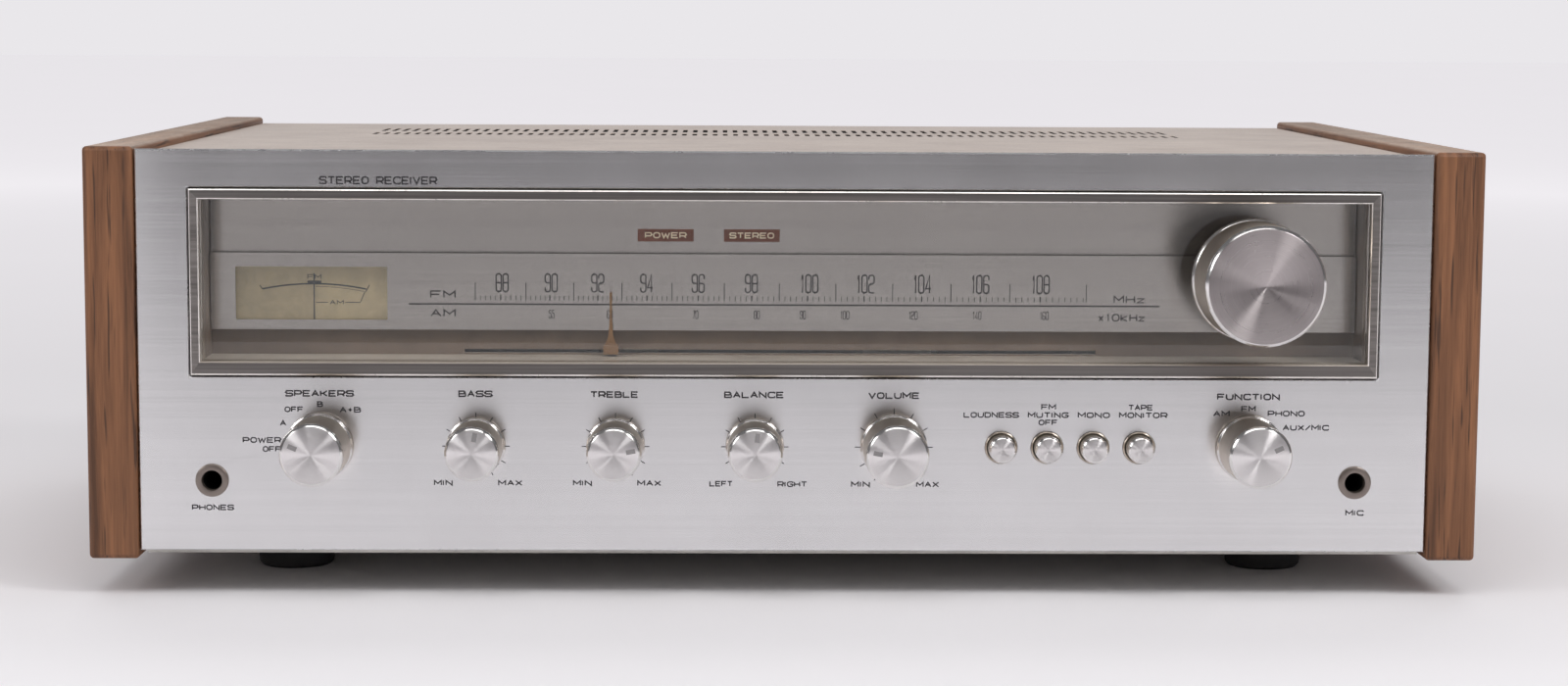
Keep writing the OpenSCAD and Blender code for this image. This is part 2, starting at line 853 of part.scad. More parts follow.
module muting_button() {
  push_button(1);
}

module mono_button() {
  push_button(2);
}

module tape_monitor_button() {
  push_button(3);
}

// A quarter-inch jack socket: a turned collar in front of a square body
module jack_socket(x) {
  color("#6f655c")
  difference() {
    union() {
      turned(x, jack_z, [[0, -0.9], [4.6, -0.9], [5.3, -0.4], [5.3, -0.02], [4.7, -0.02],
        [4.7, 4], [0, 4]]);
      block([x - 8, x + 8], [face_t + 0.1, 30], [jack_z - 8, jack_z + 8]);
    }
    rod(x, jack_z, [-2, 27], jack_r);
  }
}

module phones_jack() {
  jack_socket(-jack_x);
}

module mic_jack() {
  jack_socket(jack_x);
}

// ---------------------------------------------------------------- inner parts

// The tuner board and the amplifier board, on posts, with their taller components
module circuit_boards() {
  board_z = [27, 28.6];
  color("#8c7a3f") {
    block([-40, 110], [100, 235], board_z);
    block([-195, -55], [100, 250], board_z);
    for (x = [-35, 105, -190, -60], depth = [106, 229])
      translate([x, front_y + depth, pan_z + sheet_t])
        cylinder(h = board_z[0] - pan_z - sheet_t, r = 3);
    for (i = [0:5], j = [0:2])
      block([-30 + 22 * i, -20 + 22 * i], [112 + 34 * j, 122 + 34 * j], [board_z[1], 42]);
    for (i = [0:4], j = [0:3])
      translate([-182 + 26 * i, front_y + 115 + 32 * j, board_z[1]])
        cylinder(h = 16 - 2 * j, r = 5);
  }
}

// The power transformer: a laminated core round a wound bobbin, on a foot plate
module power_transformer() {
  low = pan_z + sheet_t;
  color("#4a4540") {
    block([126, 196], [160, 231], [low, low + 2]);
    difference() {
      block([132, 190], [176, 220], [low + 2, low + 72]);
      block([142, 155], [170, 230], [low + 14, low + 60]);
      block([167, 180], [170, 230], [low + 14, low + 60]);
    }
    difference() {
      block([143, 179], [164, 232], [low + 15, low + 59]);
      block([155, 167], [163, 233], [low + 10, low + 64]);
    }
  }
}

// The finned heat sink and its four power transistors
module heat_sink() {
  color("#3d3b39") {
    block([-190, -70], [258, 262], [34, 124]);
    for (i = [0:19])
      block([-189 + 6.2 * i, -187 + 6.2 * i], [262, 269.7], [34, 124]);
    for (x = [-170, -143, -116, -89])
      block([x - 8, x + 8], [253, 258], [70, 92]);
  }
}

// The two large filter capacitors in their clamps
module filter_capacitors() {
  low = pan_z + sheet_t;
  color("#2f4a6b")
  for (depth = [106, 142])
    translate([162, front_y + depth, low]) {
      cylinder(h = 62, r = 16);
      difference() {
        cylinder(h = 12, r = 17.4);
        translate([0, 0, -1])
          cylinder(h = 14, r = 16);
      }
    }
}

// ---------------------------------------------------------------- rear fittings

// Two rows of phono sockets on one insulating plate
module rca_jack_panel() {
  color("#26221f") {
    block([-182, -58], [rear_face, rear_face + 1.6], [36, 68]);
    for (i = [0:5], z = [44, 60])
      turned(-170 + 20 * i, z, [[1.7, rear_face - 4], [3.2, rear_face - 4],
        [3.2, rear_face + 1.6], [socket_r + 0.9, rear_face + 1.6],
        [socket_r + 0.9, rear_face + 2.6], [socket_r, rear_face + 2.6],
        [socket_r, rear_face + 11], [3.4, rear_face + 11.6], [1.7, rear_face + 11.6]]);
  }
}

// One insulating strip of screw terminals, with a barrier on each side of each screw
module terminal_strip(x, z, count) {
  half = count * strip_pitch / 2;
  difference() {
    union() {
      block([x - half - 5, x + half + 5], [rear_face, rear_face + 5], [z - 8, z + 8]);
      for (i = [0:count])
        block([x - half + i * strip_pitch - 0.8, x - half + i * strip_pitch + 0.8],
          [rear_face + 4, rear_face + 9], [z - 7, z + 7]);
    }
    for (i = [0:count - 1])
      rod(x - half + (i + 0.5) * strip_pitch, z, [rear_face - 1, rear_face + 12],
        screw_r + 0.05);
  }
}

// The antenna and ground terminals
module antenna_terminals() {
  color("#2b2725") terminal_strip(-4, 92, 4);
}

// The terminals of the two pairs of speakers
module speaker_terminals() {
  color("#2b2725") terminal_strip(-4, 52, 8);
}

// The screws of both terminal strips
module terminal_screws() {
  color("gold") {
    for (i = [0:3])
      rear_screw(-4 + (i - 1.5) * strip_pitch, 92, rear_face + 5, 3.3);
    for (i = [0:7])
      rear_screw(-4 + (i - 3.5) * strip_pitch, 52, rear_face + 5, 3.3);
  }
}

// Two mains outlets, each with a pair of blade slots
module ac_outlets() {
  color("#1f1c1a")
  difference() {
    union() {
      block([62, 128], [rear_face, rear_face + 3], [32, 62]);
      block([68, 122], [rear_face - 9, rear_face + 5], [37, 57]);
    }
    for (x = [82, 108], side = [-1, 1])
      block([x + side * 6.4 - 0.9, x + side * 6.4 + 0.9], [rear_face - 5, rear_face + 6],
        [43.5, 50.5]);
  }
}

// The gland that the mains lead passes through
module power_cord_grommet() {
  color("#1b1918")
  turned(176, 44, [[3.6, rear_face - 5], [6, rear_face - 5], [6, rear_face],
    [9, rear_face], [9, rear_face + 1.5], [6.4, rear_face + 3.5], [5, rear_face + 9],
    [3.6, rear_face + 9]]);
}

// The fork on the rear panel that holds the rod antenna's pin
module antenna_bracket() {
  x = antenna_pivot_x;
  color("#2b2725") {
    block([x - 6, x + 6], [rear_face, rear_face + 2], [antenna_z - 12, antenna_z + 12]);
    for (z = [antenna_z - 10, antenna_z + 7.4])
      difference() {
        block([x - 5, x + 5], [rear_face + 2, antenna_depth + 3.7], [z, z + 2.6]);
        translate([x, front_y + antenna_depth, z - 1])
          cylinder(h = 5, r = pin_r);
      }
    translate([x, front_y + antenna_depth, antenna_z - 10])
      cylinder(h = 20, r = pin_r);
  }
}

// The rod antenna: a moulded holder on the pin, two end caps and the bar between them
module ferrite_antenna() {
  x = antenna_pivot_x;
  color("#1f1c1a")
  difference() {
    union() {
      translate([x, front_y + antenna_depth, antenna_z - 6.8])
        cylinder(h = 13.6, r = 4.4);
      block([x - 12, x], [antenna_depth - 3, antenna_depth + 3], [antenna_z - 5, antenna_z + 5]);
      translate([x - antenna_l, front_y + antenna_depth, antenna_z])
        rotate([0, 90, 0])
          rotate_extrude()
            polygon([[0, 0], [antenna_bar_r, 0], [antenna_bar_r, 12], [3.9, 12],
              [3.9, antenna_l - 24], [antenna_bar_r, antenna_l - 24],
              [antenna_bar_r, antenna_l - 11], [0, antenna_l - 11]]);
    }
    translate([x, front_y + antenna_depth, antenna_z - 10])
      cylinder(h = 20, r = pin_r + bush_gap);
  }
}

chassis_pan();
rear_panel();
top_cover();
left_cheek();
right_cheek();
faceplate();
front_subpanel();
dial_bezel();
dial_glass();
dial_housing();
scale_plate();
upper_dial_panel();
indicator_windows();
meter_case();
meter_card();
meter_lens();
meter_needle();
pointer_rail();
dial_pointer();
dial_cord();
dial_drum();
left_idler_pulley();
right_idler_pulley();
tuning_knob();
tuning_shaft();
flywheel();
tuning_capacitor();
capacitor_rotor();
circuit_boards();
power_transformer();
heat_sink();
filter_capacitors();
tone_control_pots();
rotary_switches();
shaft_nuts();
speakers_knob();
bass_knob();
treble_knob();
balance_knob();
volume_knob();
function_knob();
button_switch_bank();
button_rings();
loudness_button();
muting_button();
mono_button();
tape_monitor_button();
phones_jack();
mic_jack();
dial_lamps();
feet();
case_screws();
rca_jack_panel();
antenna_terminals();
speaker_terminals();
terminal_screws();
ac_outlets();
power_cord_grommet();
antenna_bracket();
ferrite_antenna();
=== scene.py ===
# %% [markdown]
# # A stereo receiver with walnut cheeks
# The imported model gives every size. This lesson dresses it: turned aluminium knobs, a brushed
# faceplate, printed scales behind glass and veneered wood. A length in the code is in
# millimetres unless it says otherwise, and `MM` turns it into Blender's metres.

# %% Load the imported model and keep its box
import math

import bmesh
import bpy
from mathutils import Matrix, Vector
from mathutils.geometry import tessellate_polygon


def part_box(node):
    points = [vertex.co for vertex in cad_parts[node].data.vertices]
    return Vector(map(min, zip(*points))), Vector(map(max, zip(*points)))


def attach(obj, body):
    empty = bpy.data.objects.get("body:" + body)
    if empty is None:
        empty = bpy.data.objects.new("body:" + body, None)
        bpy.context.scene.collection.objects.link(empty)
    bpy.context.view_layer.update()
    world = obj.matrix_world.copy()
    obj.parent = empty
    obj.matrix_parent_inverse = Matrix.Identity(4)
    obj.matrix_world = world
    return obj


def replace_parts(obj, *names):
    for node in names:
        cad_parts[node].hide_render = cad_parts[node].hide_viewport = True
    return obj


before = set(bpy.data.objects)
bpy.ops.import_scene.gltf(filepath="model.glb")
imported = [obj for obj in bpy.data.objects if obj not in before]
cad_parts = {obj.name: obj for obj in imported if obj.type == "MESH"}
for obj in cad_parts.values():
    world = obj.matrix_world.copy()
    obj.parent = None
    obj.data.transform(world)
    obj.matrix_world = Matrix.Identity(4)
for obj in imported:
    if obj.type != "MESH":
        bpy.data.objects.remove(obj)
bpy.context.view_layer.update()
MM = 0.001
scene = bpy.context.scene


# %% [markdown]
# ## Places taken from the model
# Depth counts back from the faceplate's front, as on a drawing. Every axis and every height
# is read from the box of the node that has it, so nothing here repeats a size by hand.

# %% Ask the model for its axes, heights and depths
def span(node):
    low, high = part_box(node)
    return low / MM, high / MM


def axis_of(node):
    low, high = span(node)
    return (low.x + high.x) / 2, (low.z + high.z) / 2


FRONT = span("faceplate")[0].y
face_low, face_high = span("faceplate")
bezel_low, bezel_high = span("dial_bezel")
glass_low, glass_high = span("dial_glass")
row_z = axis_of("bass_knob")[1]
knob_axes = {name: axis_of(name + "_knob")[0]
             for name in ("speakers", "bass", "treble", "balance", "volume", "function")}
button_axes = {name: axis_of(name + "_button")[0]
               for name in ("loudness", "muting", "mono", "tape_monitor")}
tuning_x, tuning_z = axis_of("tuning_knob")
jack_axes = {name: axis_of(name + "_jack") for name in ("phones", "mic")}
print("row of controls at", round(row_z, 1), "knobs at", knob_axes)


# %% [markdown]
# ## Camera
# The view is from the front, a little left of the middle and above the top edge, so that the
# right sides of the knobs hide and their left sides show. A lens of about 69 mm from nearly a
# metre away keeps the front almost square.

# %% Place the camera
CAMERA_X, CAMERA_AWAY, CAMERA_Z = -22.65, 953.6, 186.15
LENS, YAW, PITCH, ROLL = 68.96, math.radians(1.311), math.radians(6.218), math.radians(0.330)

camera_data = bpy.data.cameras.new("camera")
camera_data.lens = LENS
camera_data.sensor_width = 36
camera = bpy.data.objects.new("camera", camera_data)
scene.collection.objects.link(camera)
ahead = Vector((math.sin(YAW) * math.cos(PITCH), math.cos(YAW) * math.cos(PITCH), -math.sin(PITCH)))
level = Vector((math.cos(YAW), -math.sin(YAW), 0))
upright = level.cross(ahead)
right = math.cos(ROLL) * level + math.sin(ROLL) * upright
up = -math.sin(ROLL) * level + math.cos(ROLL) * upright
turn = Matrix((right, up, -ahead)).transposed().to_4x4()
camera.matrix_world = Matrix.Translation(
    Vector((CAMERA_X, FRONT - CAMERA_AWAY, CAMERA_Z)) * MM) @ turn
scene.camera = camera
print("camera at", [round(v, 3) for v in camera.location])


# %% [markdown]
# ## Shader groups
# A finish is a stack of small effects. Each effect that several materials share is a node
# group with named inputs, built once: fine brushed grain, dust that settles on what faces
# up, blotches of handling wear, and the long figure of walnut.

# %% A short way to write node trees
def join(tree, socket, value):
    """Links another node's output to the socket, or sets a plain value on it."""
    if isinstance(value, bpy.types.NodeSocket):
        tree.links.new(value, socket)
    else:
        socket.default_value = value


def add(tree, kind, settings=None, **inputs):
    """Adds a node and fills its inputs, by name or, as i0 and i1, by number."""
    node = tree.nodes.new("ShaderNode" + kind)
    for key, value in (settings or {}).items():
        setattr(node, key, value)
    for key, value in inputs.items():
        named = [s for s in node.inputs if s.name == key.replace("_", " ") and s.enabled]
        join(tree, named[0] if named else node.inputs[int(key[1:])], value)
    return node


def sums(tree, operation, a, b):
    return add(tree, "Math", {"operation": operation}, i0=a, i1=b).outputs[0]


def blend(tree, factor, a, b):
    """Mixes two colours."""
    node = add(tree, "Mix", {"data_type": "RGBA"})
    join(tree, node.inputs["Factor"], factor)
    join(tree, node.inputs[6], a)
    join(tree, node.inputs[7], b)
    return node.outputs[2]


def remap(tree, value, low, high, to_low=0.0, to_high=1.0):
    return add(tree, "MapRange", i0=value, i1=low, i2=high, i3=to_low, i4=to_high).outputs[0]


def group(name, inputs, outputs):
    """Starts a node group with named number, vector or colour sockets."""
    tree = bpy.data.node_groups.new(name, "ShaderNodeTree")
    for label, kind, value in inputs:
        socket = tree.interface.new_socket(label, in_out="INPUT", socket_type="NodeSocket" + kind)
        socket.default_value = value
    for label, kind in outputs:
        tree.interface.new_socket(label, in_out="OUTPUT", socket_type="NodeSocket" + kind)
    start = tree.nodes.new("NodeGroupInput")
    end = tree.nodes.new("NodeGroupOutput")
    print("group:", name)
    return tree, start.outputs, end.inputs


def use(tree, group_tree, **values):
    """Puts a group into a material and sets its inputs."""
    node = tree.nodes.new("ShaderNodeGroup")
    node.node_tree = group_tree
    for key, value in values.items():
        join(tree, node.inputs[key.replace("_", " ")], value)
    return node.outputs


# %% Three steps that every group uses
def own_place(tree):
    """Where a point lies on the piece, in metres."""
    return add(tree, "TexCoord").outputs["Object"]


def stretched(tree, place, factors):
    return add(tree, "VectorMath", {"operation": "MULTIPLY"}, i0=place, i1=factors).outputs[0]


def noise(tree, place, scale, detail, roughness=0.5, distortion=0.0):
    return add(tree, "TexNoise", Vector=place, Scale=scale, Detail=detail, Roughness=roughness,
               Distortion=distortion).outputs[0]


def clamped(tree, value):
    return add(tree, "Clamp", Value=value).outputs[0]


# %% Brushed grain: noise drawn out along one direction, at a coarse and a fine scale
def grain_group():
    tree, given, out = group(
        "brushed_grain",
        [("Stretch", "Vector", (10, 2500, 2500)), ("Coarse", "Float", 0.35), ("Depth", "Float", 0.05)],
        [("Value", "Float"), ("Normal", "Vector")])
    fine_at = stretched(tree, own_place(tree), given["Stretch"])
    wide_at = stretched(tree, fine_at, (0.16, 0.16, 0.16))
    fine = noise(tree, fine_at, 1.0, 3.0, 0.65)
    wide = noise(tree, wide_at, 1.0, 4.0, 0.6)
    value = add(tree, "Mix", i0=given["Coarse"], i2=fine, i3=wide).outputs[0]
    join(tree, out["Value"], value)
    bump = add(tree, "Bump", Strength=given["Depth"], Distance=0.0003, Height=value)
    join(tree, out["Normal"], bump.outputs[0])
    return tree


GRAIN = grain_group()


# %% [markdown]
# ### Dust
# Dust could be painted by hand, but it follows one simple rule: it lies on what faces up. The
# normal's height gives that, and two noises break it into clouds and specks.

# %% Dust: thickest where a surface faces up
def dust_group():
    tree, given, out = group(
        "settled_dust", [("Amount", "Float", 0.5), ("Speckle", "Float", 900.0)], [("Mask", "Float")])
    facing = add(tree, "SeparateXYZ", Vector=add(tree, "NewGeometry").outputs["Normal"]).outputs["Z"]
    place = own_place(tree)
    clouds = remap(tree, noise(tree, place, 38.0, 6.0, 0.6), 0.25, 0.75, 0.35, 0.9)
    specks = remap(tree, noise(tree, place, given["Speckle"], 2.0), 0.55, 0.72, 0.0, 0.45)
    lying = sums(tree, "MULTIPLY", remap(tree, facing, 0.25, 0.95), sums(tree, "ADD", clouds, specks))
    join(tree, out["Mask"], clamped(tree, sums(tree, "MULTIPLY", lying, given["Amount"])))
    return tree


DUST = dust_group()
DUST_COLOUR = (0.42, 0.36, 0.30, 1)


# %% [markdown]
# ### Handling wear
# Fingers leave soft blotches, and cloths leave fine scuffs along one direction. Both change
# the gloss more than the colour, so the group puts out one mask for either use.

# %% Handling wear: soft blotches and fine scuffs
def wear_group():
    tree, given, out = group(
        "handling_wear", [("Scale", "Float", 60.0), ("Scuffs", "Float", 0.5)], [("Mask", "Float")])
    place = own_place(tree)
    cloud = noise(tree, place, given["Scale"], 7.0, 0.68)
    lines = noise(tree, stretched(tree, place, (900, 700, 260)), 1.0, 2.0, distortion=1.2)
    scuffs = sums(tree, "MULTIPLY", remap(tree, lines, 0.62, 0.74), given["Scuffs"])
    join(tree, out["Mask"], clamped(tree, sums(tree, "ADD", remap(tree, cloud, 0.3, 0.75), scuffs)))
    return tree


WEAR = wear_group()


# %% [markdown]
# ### Walnut
# Real veneer has a broad figure, a fine fibre and short dark pores, all drawn out along the
# grain. Three noises stretched by the same amount give them, and the pores also sink a little.

# %% Walnut: figure, fibre and pores along one direction
def walnut_group():
    tree, given, out = group(
        "walnut_figure",
        [("Stretch", "Vector", (1.0, 1.0, 0.05)), ("Light", "Color", (0.36, 0.21, 0.13, 1)),
         ("Dark", "Color", (0.10, 0.05, 0.035, 1))],
        [("Colour", "Color"), ("Height", "Float")])
    along = stretched(tree, own_place(tree), given["Stretch"])
    figure = noise(tree, along, 260.0, 5.0, 0.6, 0.6)
    fibre = noise(tree, along, 1500.0, 3.0, 0.7)
    pore = remap(tree, noise(tree, along, 900.0, 2.0), 0.60, 0.68)
    tone = sums(tree, "ADD", remap(tree, figure, 0.30, 0.72), remap(tree, fibre, 0.2, 0.8, -0.22, 0.22))
    plain = blend(tree, clamped(tree, tone), given["Dark"], given["Light"])
    coloured = blend(tree, sums(tree, "MULTIPLY", pore, 0.75), plain, (0.035, 0.02, 0.015, 1))
    join(tree, out["Colour"], coloured)
    join(tree, out["Height"], sums(tree, "SUBTRACT", fibre, sums(tree, "MULTIPLY", pore, 0.8)))
    return tree


WALNUT = walnut_group()
print("shader groups:", [g.name for g in bpy.data.node_groups])


# %% [markdown]
# ## Finishes
# Each finish is a Principled shader. What is the same all over the surface is set on the
# shader's own socket. What varies, such as colour and roughness, comes from the groups.

# %% Start a material, and the steps that the recipes share
def finish(name, colour=(0.8, 0.8, 0.8), metallic=0.0, roughness=0.5, **sockets):
    """Returns the material, its node tree and the shader's sockets."""
    made = bpy.data.materials.new(name)
    made.use_nodes = True
    tree = made.node_tree
    shader = tree.nodes["Principled BSDF"]
    shader.inputs["Base Color"].default_value = (*colour, 1)
    shader.inputs["Metallic"].default_value = metallic
    shader.inputs["Roughness"].default_value = roughness
    for key, value in sockets.items():
        shader.inputs[key.replace("_", " ")].default_value = value
    return made, tree, shader.inputs


def wear(tree, scale, scuffs):
    return use(tree, WEAR, Scale=scale, Scuffs=scuffs)["Mask"]


def dusted(tree, colour, amount, dust=DUST_COLOUR):
    return blend(tree, use(tree, DUST, Amount=amount)["Mask"], colour, dust)


def bump(tree, shader, strength, distance, height):
    join(tree, shader["Normal"],
         add(tree, "Bump", Strength=strength, Distance=distance, Height=height).outputs[0])


def tangent(tree, shader, axis):
    """The direction that the highlight is drawn along, round an axis of the piece."""
    join(tree, shader["Tangent"],
         add(tree, "Tangent", {"direction_type": "RADIAL", "axis": axis}).outputs[0])


def pair(tree, factor, first, second):
    return blend(tree, factor, (*first, 1), (*second, 1))


# %% [markdown]
# ### Brushed metal
# A brush leaves thousands of fine scratches side by side, which spread a lamp's reflection
# across them. Cutting them as geometry would be hopeless, so the shader's anisotropy spreads
# the light and the grain group only varies the colour and the gloss.

# %% Brushed metal
def brushed(name, light, dark, roughness, stretch, anisotropic=0.6, coarse=0.35, depth=0.05, dusty=0.0):
    made, tree, shader = finish(name, metallic=1.0, Anisotropic=anisotropic)
    lines = use(tree, GRAIN, Stretch=stretch, Coarse=coarse, Depth=depth)
    colour = pair(tree, remap(tree, lines["Value"], 0.25, 0.75), dark, light)
    join(tree, shader["Base Color"], dusted(tree, colour, dusty) if dusty else colour)
    gloss = remap(tree, lines["Value"], 0.2, 0.8, roughness - 0.015, roughness + 0.02)
    worn = sums(tree, "MULTIPLY", wear(tree, 25.0, 0.3), 0.03)
    join(tree, shader["Roughness"], sums(tree, "ADD", gloss, worn))
    join(tree, shader["Normal"], lines["Normal"])
    tangent(tree, shader, "X")
    return made


# %% Moulded plastic, rubber or paint: a fine cast texture, handling blotches and dust
def moulded(name, colour, roughness, dusty=0.25, texture=0.15):
    made, tree, shader = finish(name)
    worn = wear(tree, 80.0, 0.4)
    pale = tuple(min(1, c * 1.35 + 0.01) for c in colour)
    join(tree, shader["Base Color"], dusted(tree, pair(tree, worn, colour, pale), dusty))
    join(tree, shader["Roughness"], remap(tree, worn, 0, 1, roughness - 0.06, roughness + 0.1))
    bump(tree, shader, texture, 0.0002, noise(tree, own_place(tree), 900.0, 2.0))
    return made


# %% Plated sheet or turned metal: mottled and slightly dusty
def plated(name, colour, roughness, dusty=0.2):
    made, tree, shader = finish(name, metallic=1.0)
    worn = wear(tree, 45.0, 0.6)
    dull = tuple(c * 0.72 for c in colour)
    join(tree, shader["Base Color"], dusted(tree, pair(tree, worn, colour, dull), dusty))
    join(tree, shader["Roughness"], remap(tree, worn, 0, 1, roughness, roughness + 0.18))
    return made


# %% [markdown]
# ### Spun metal
# A lathe tool leaves rings, so the reflection spreads along the radius and every lamp becomes
# a pair of fans through the middle. The tangent runs round the turning axis, and a quarter
# turn of the anisotropy lays the spread along the radius.

# %% Spun metal: fine rings round an axis that runs front to back
def spun(name, light, dark, roughness, anisotropic, ring_mm=0.25, depth=0.1, dusty=0.0):
    """The rings come from the distance to the middle of the piece's own box."""
    made, tree, shader = finish(name, metallic=1.0, Anisotropic=anisotropic)
    centre = add(tree, "VectorMath", {"operation": "SUBTRACT"},
                 i0=add(tree, "TexCoord").outputs["Generated"], i1=(0.5, 0.5, 0.5)).outputs[0]
    flat = stretched(tree, centre, (1, 0, 1))
    radius = add(tree, "VectorMath", {"operation": "LENGTH"}, i0=flat).outputs["Value"]
    along = sums(tree, "MULTIPLY", radius, 20 / ring_mm)
    rings = noise(tree, add(tree, "CombineXYZ", X=along, Y=0.0, Z=0.0).outputs[0], 1.0, 3.0, 0.7)
    colour = pair(tree, remap(tree, rings, 0.25, 0.75), dark, light)
    join(tree, shader["Base Color"], dusted(tree, colour, dusty) if dusty else colour)
    gloss = remap(tree, rings, 0.2, 0.8, roughness - 0.04, roughness + 0.06)
    worn = sums(tree, "MULTIPLY", wear(tree, 140.0, 0.2), 0.03)
    join(tree, shader["Roughness"], sums(tree, "ADD", gloss, worn))
    bump(tree, shader, depth, 0.0001, rings)
    shader["Anisotropic Rotation"].default_value = 0.25
    tangent(tree, shader, "Y")
    return made


# %% Wood and vinyl
def wood(name, stretch, light, dark, dusty, sheen=0.0):
    """Veneer or printed vinyl. Sheen stands for loose dust, which looks paler at a low angle."""
    made, tree, shader = finish(name, Specular_IOR_Level=0.35, Sheen_Weight=sheen)
    figure = use(tree, WALNUT, Stretch=stretch, Light=(*light, 1), Dark=(*dark, 1))
    join(tree, shader["Base Color"], dusted(tree, figure["Colour"], dusty, WOOD_DUST))
    join(tree, shader["Roughness"], remap(tree, wear(tree, 35.0, 0.5), 0, 1, 0.38, 0.58))
    bump(tree, shader, 0.25, 0.0003, figure["Height"])
    return made


WOOD_DUST = (0.60, 0.50, 0.42, 1)
WALNUT_UPRIGHT = wood("walnut_front", (1.0, 1.0, 0.035), (0.285, 0.125, 0.058), (0.090, 0.040, 0.021),
                      0.0)
WALNUT_SIDE = wood("walnut_side", (1.0, 0.035, 1.0), (0.32, 0.165, 0.095), (0.11, 0.055, 0.036), 0.75)
COVER_VINYL = wood("cover_vinyl", (0.06, 1.0, 1.0), (0.36, 0.25, 0.19), (0.20, 0.13, 0.10), 0.82,
                   sheen=0.45)
print("woods:", WALNUT_UPRIGHT.name, WALNUT_SIDE.name, COVER_VINYL.name)


# %% The metals of the front
FACE = brushed("faceplate_brushed", (0.96, 0.95, 0.96), (0.80, 0.79, 0.80), 0.215, (3, 1500, 1500),
               anisotropic=0.84, coarse=0.2, depth=0.0)
FACE_EDGE = plated("faceplate_cut_edge", (0.85, 0.85, 0.86), 0.2, dusty=0.0)
BEZEL_ACROSS = brushed("bezel_brushed_across", (0.38, 0.35, 0.335), (0.13, 0.12, 0.115), 0.36,
                       (7, 900, 900), anisotropic=0.85, coarse=0.3, depth=0.02, dusty=0.7)
BEZEL_UPRIGHT = brushed("bezel_brushed_upright", (0.46, 0.42, 0.40), (0.14, 0.13, 0.125), 0.36,
                        (30, 1000, 1000), anisotropic=0.85, coarse=0.4, depth=0.02)
BRIGHT_EDGE = plated("bright_cut_edge", (0.90, 0.86, 0.82), 0.16, dusty=0.0)
DIAL_METAL = brushed("dial_plate_brushed", (0.48, 0.445, 0.42), (0.39, 0.36, 0.34), 0.22,
                     (2, 2600, 2600), anisotropic=0.9, coarse=0.15, depth=0.0)
KNOB_FACE = spun("knob_spun_face", (0.90, 0.87, 0.87), (0.82, 0.79, 0.79), 0.32, 1.0, depth=0.02)
# Painted shade: the tuning knob's face is a darker copy of the knobs' spun aluminium.
TUNING_FACE_PAINTED_SHADE = spun("tuning_spun_face_painted_shade", (0.66, 0.60, 0.60), (0.55, 0.50, 0.50), 0.27, 1.0, depth=0.0)
KNOB_SIDE = spun("knob_turned_side", (0.74, 0.67, 0.60), (0.50, 0.44, 0.38), 0.34, 0.3, dusty=0.9)
KNOB_BEVEL = plated("knob_bright_bevel", (0.92, 0.90, 0.89), 0.07, dusty=0.0)
RING_METAL = spun("collar_turned", (0.72, 0.64, 0.55), (0.52, 0.45, 0.38), 0.26, 0.4, dusty=0.3)
JACK_COLLAR = spun("jack_collar", (0.36, 0.31, 0.28), (0.24, 0.20, 0.18), 0.42, 0.4, dusty=0.4)
print("finishes so far:", len(bpy.data.materials))


# %% The metals inside and behind
BRASS = plated("terminal_brass", (0.80, 0.62, 0.30), 0.28)
ZINC = plated("zinc_plated_steel", (0.62, 0.60, 0.56), 0.35)
STEEL = plated("turned_steel", (0.62, 0.61, 0.60), 0.3)
BLACK_SCREW = plated("blackened_screw", (0.12, 0.12, 0.12), 0.4)
NICKEL = plated("nickel_shell", (0.74, 0.71, 0.66), 0.2)
print("finishes so far:", len(bpy.data.materials))


# %% Plastics, rubber, resin and ink
INDEX_GREY = moulded("knob_index_grey", (0.20, 0.19, 0.19), 0.5, dusty=0.0)
HOUSING = moulded("housing_plastic", (0.125, 0.086, 0.058), 0.33, dusty=1.4, texture=0.02)
DARK_PLASTIC = moulded("rear_plastic", (0.022, 0.021, 0.020), 0.5)
RUBBER = moulded("foot_rubber", (0.018, 0.018, 0.018), 0.75, texture=0.3)
# The jack barrel is black plastic made near-black: partly painted shade in its deep bore.
BARREL_BLACK_AND_PAINTED_SHADE = moulded("jack_barrel", (0.006, 0.006, 0.006), 0.6, dusty=0.0)
INK = moulded("printed_ink", (0.020, 0.018, 0.020), 0.55, dusty=0.0)
CREAM_INK = moulded("cream_ink", (0.85, 0.70, 0.52), 0.5, dusty=0.0)
POINTER = moulded("pointer_plastic", (0.16, 0.078, 0.024), 0.35)
PALE_PLASTIC = moulded("cream_plastic", (0.62, 0.58, 0.48), 0.45)
BOARD = moulded("board_resin", (0.26, 0.17, 0.06), 0.5, dusty=0.5)
PHENOLIC = moulded("switch_resin", (0.34, 0.19, 0.08), 0.45)
BLUE_SLEEVE = moulded("capacitor_sleeve", (0.05, 0.11, 0.22), 0.3)
VARNISHED = moulded("transformer_varnish", (0.05, 0.045, 0.04), 0.35)
THREAD = moulded("dial_cord_thread", (0.03, 0.028, 0.026), 0.8)
CREAM_PLASTIC = moulded("insulator_white", (0.75, 0.72, 0.66), 0.4)
RED_PLASTIC = moulded("insulator_red", (0.42, 0.03, 0.025), 0.4)
METER_BLACK = moulded("meter_plastic", (0.025, 0.022, 0.020), 0.45)
print("finishes so far:", len(bpy.data.materials))


# %% Glass, lit windows and the meter's card
def clear(name, tint, roughness, smears):
    """Glass that lets light through; faint smears change its gloss."""
    made, tree, shader = finish(name, tint, roughness=roughness, Transmission_Weight=1.0, IOR=1.45)
    smeared = remap(tree, wear(tree, 16.0, 0.2), 0, 1, roughness, roughness + smears)
    join(tree, shader["Roughness"], smeared)
    return made


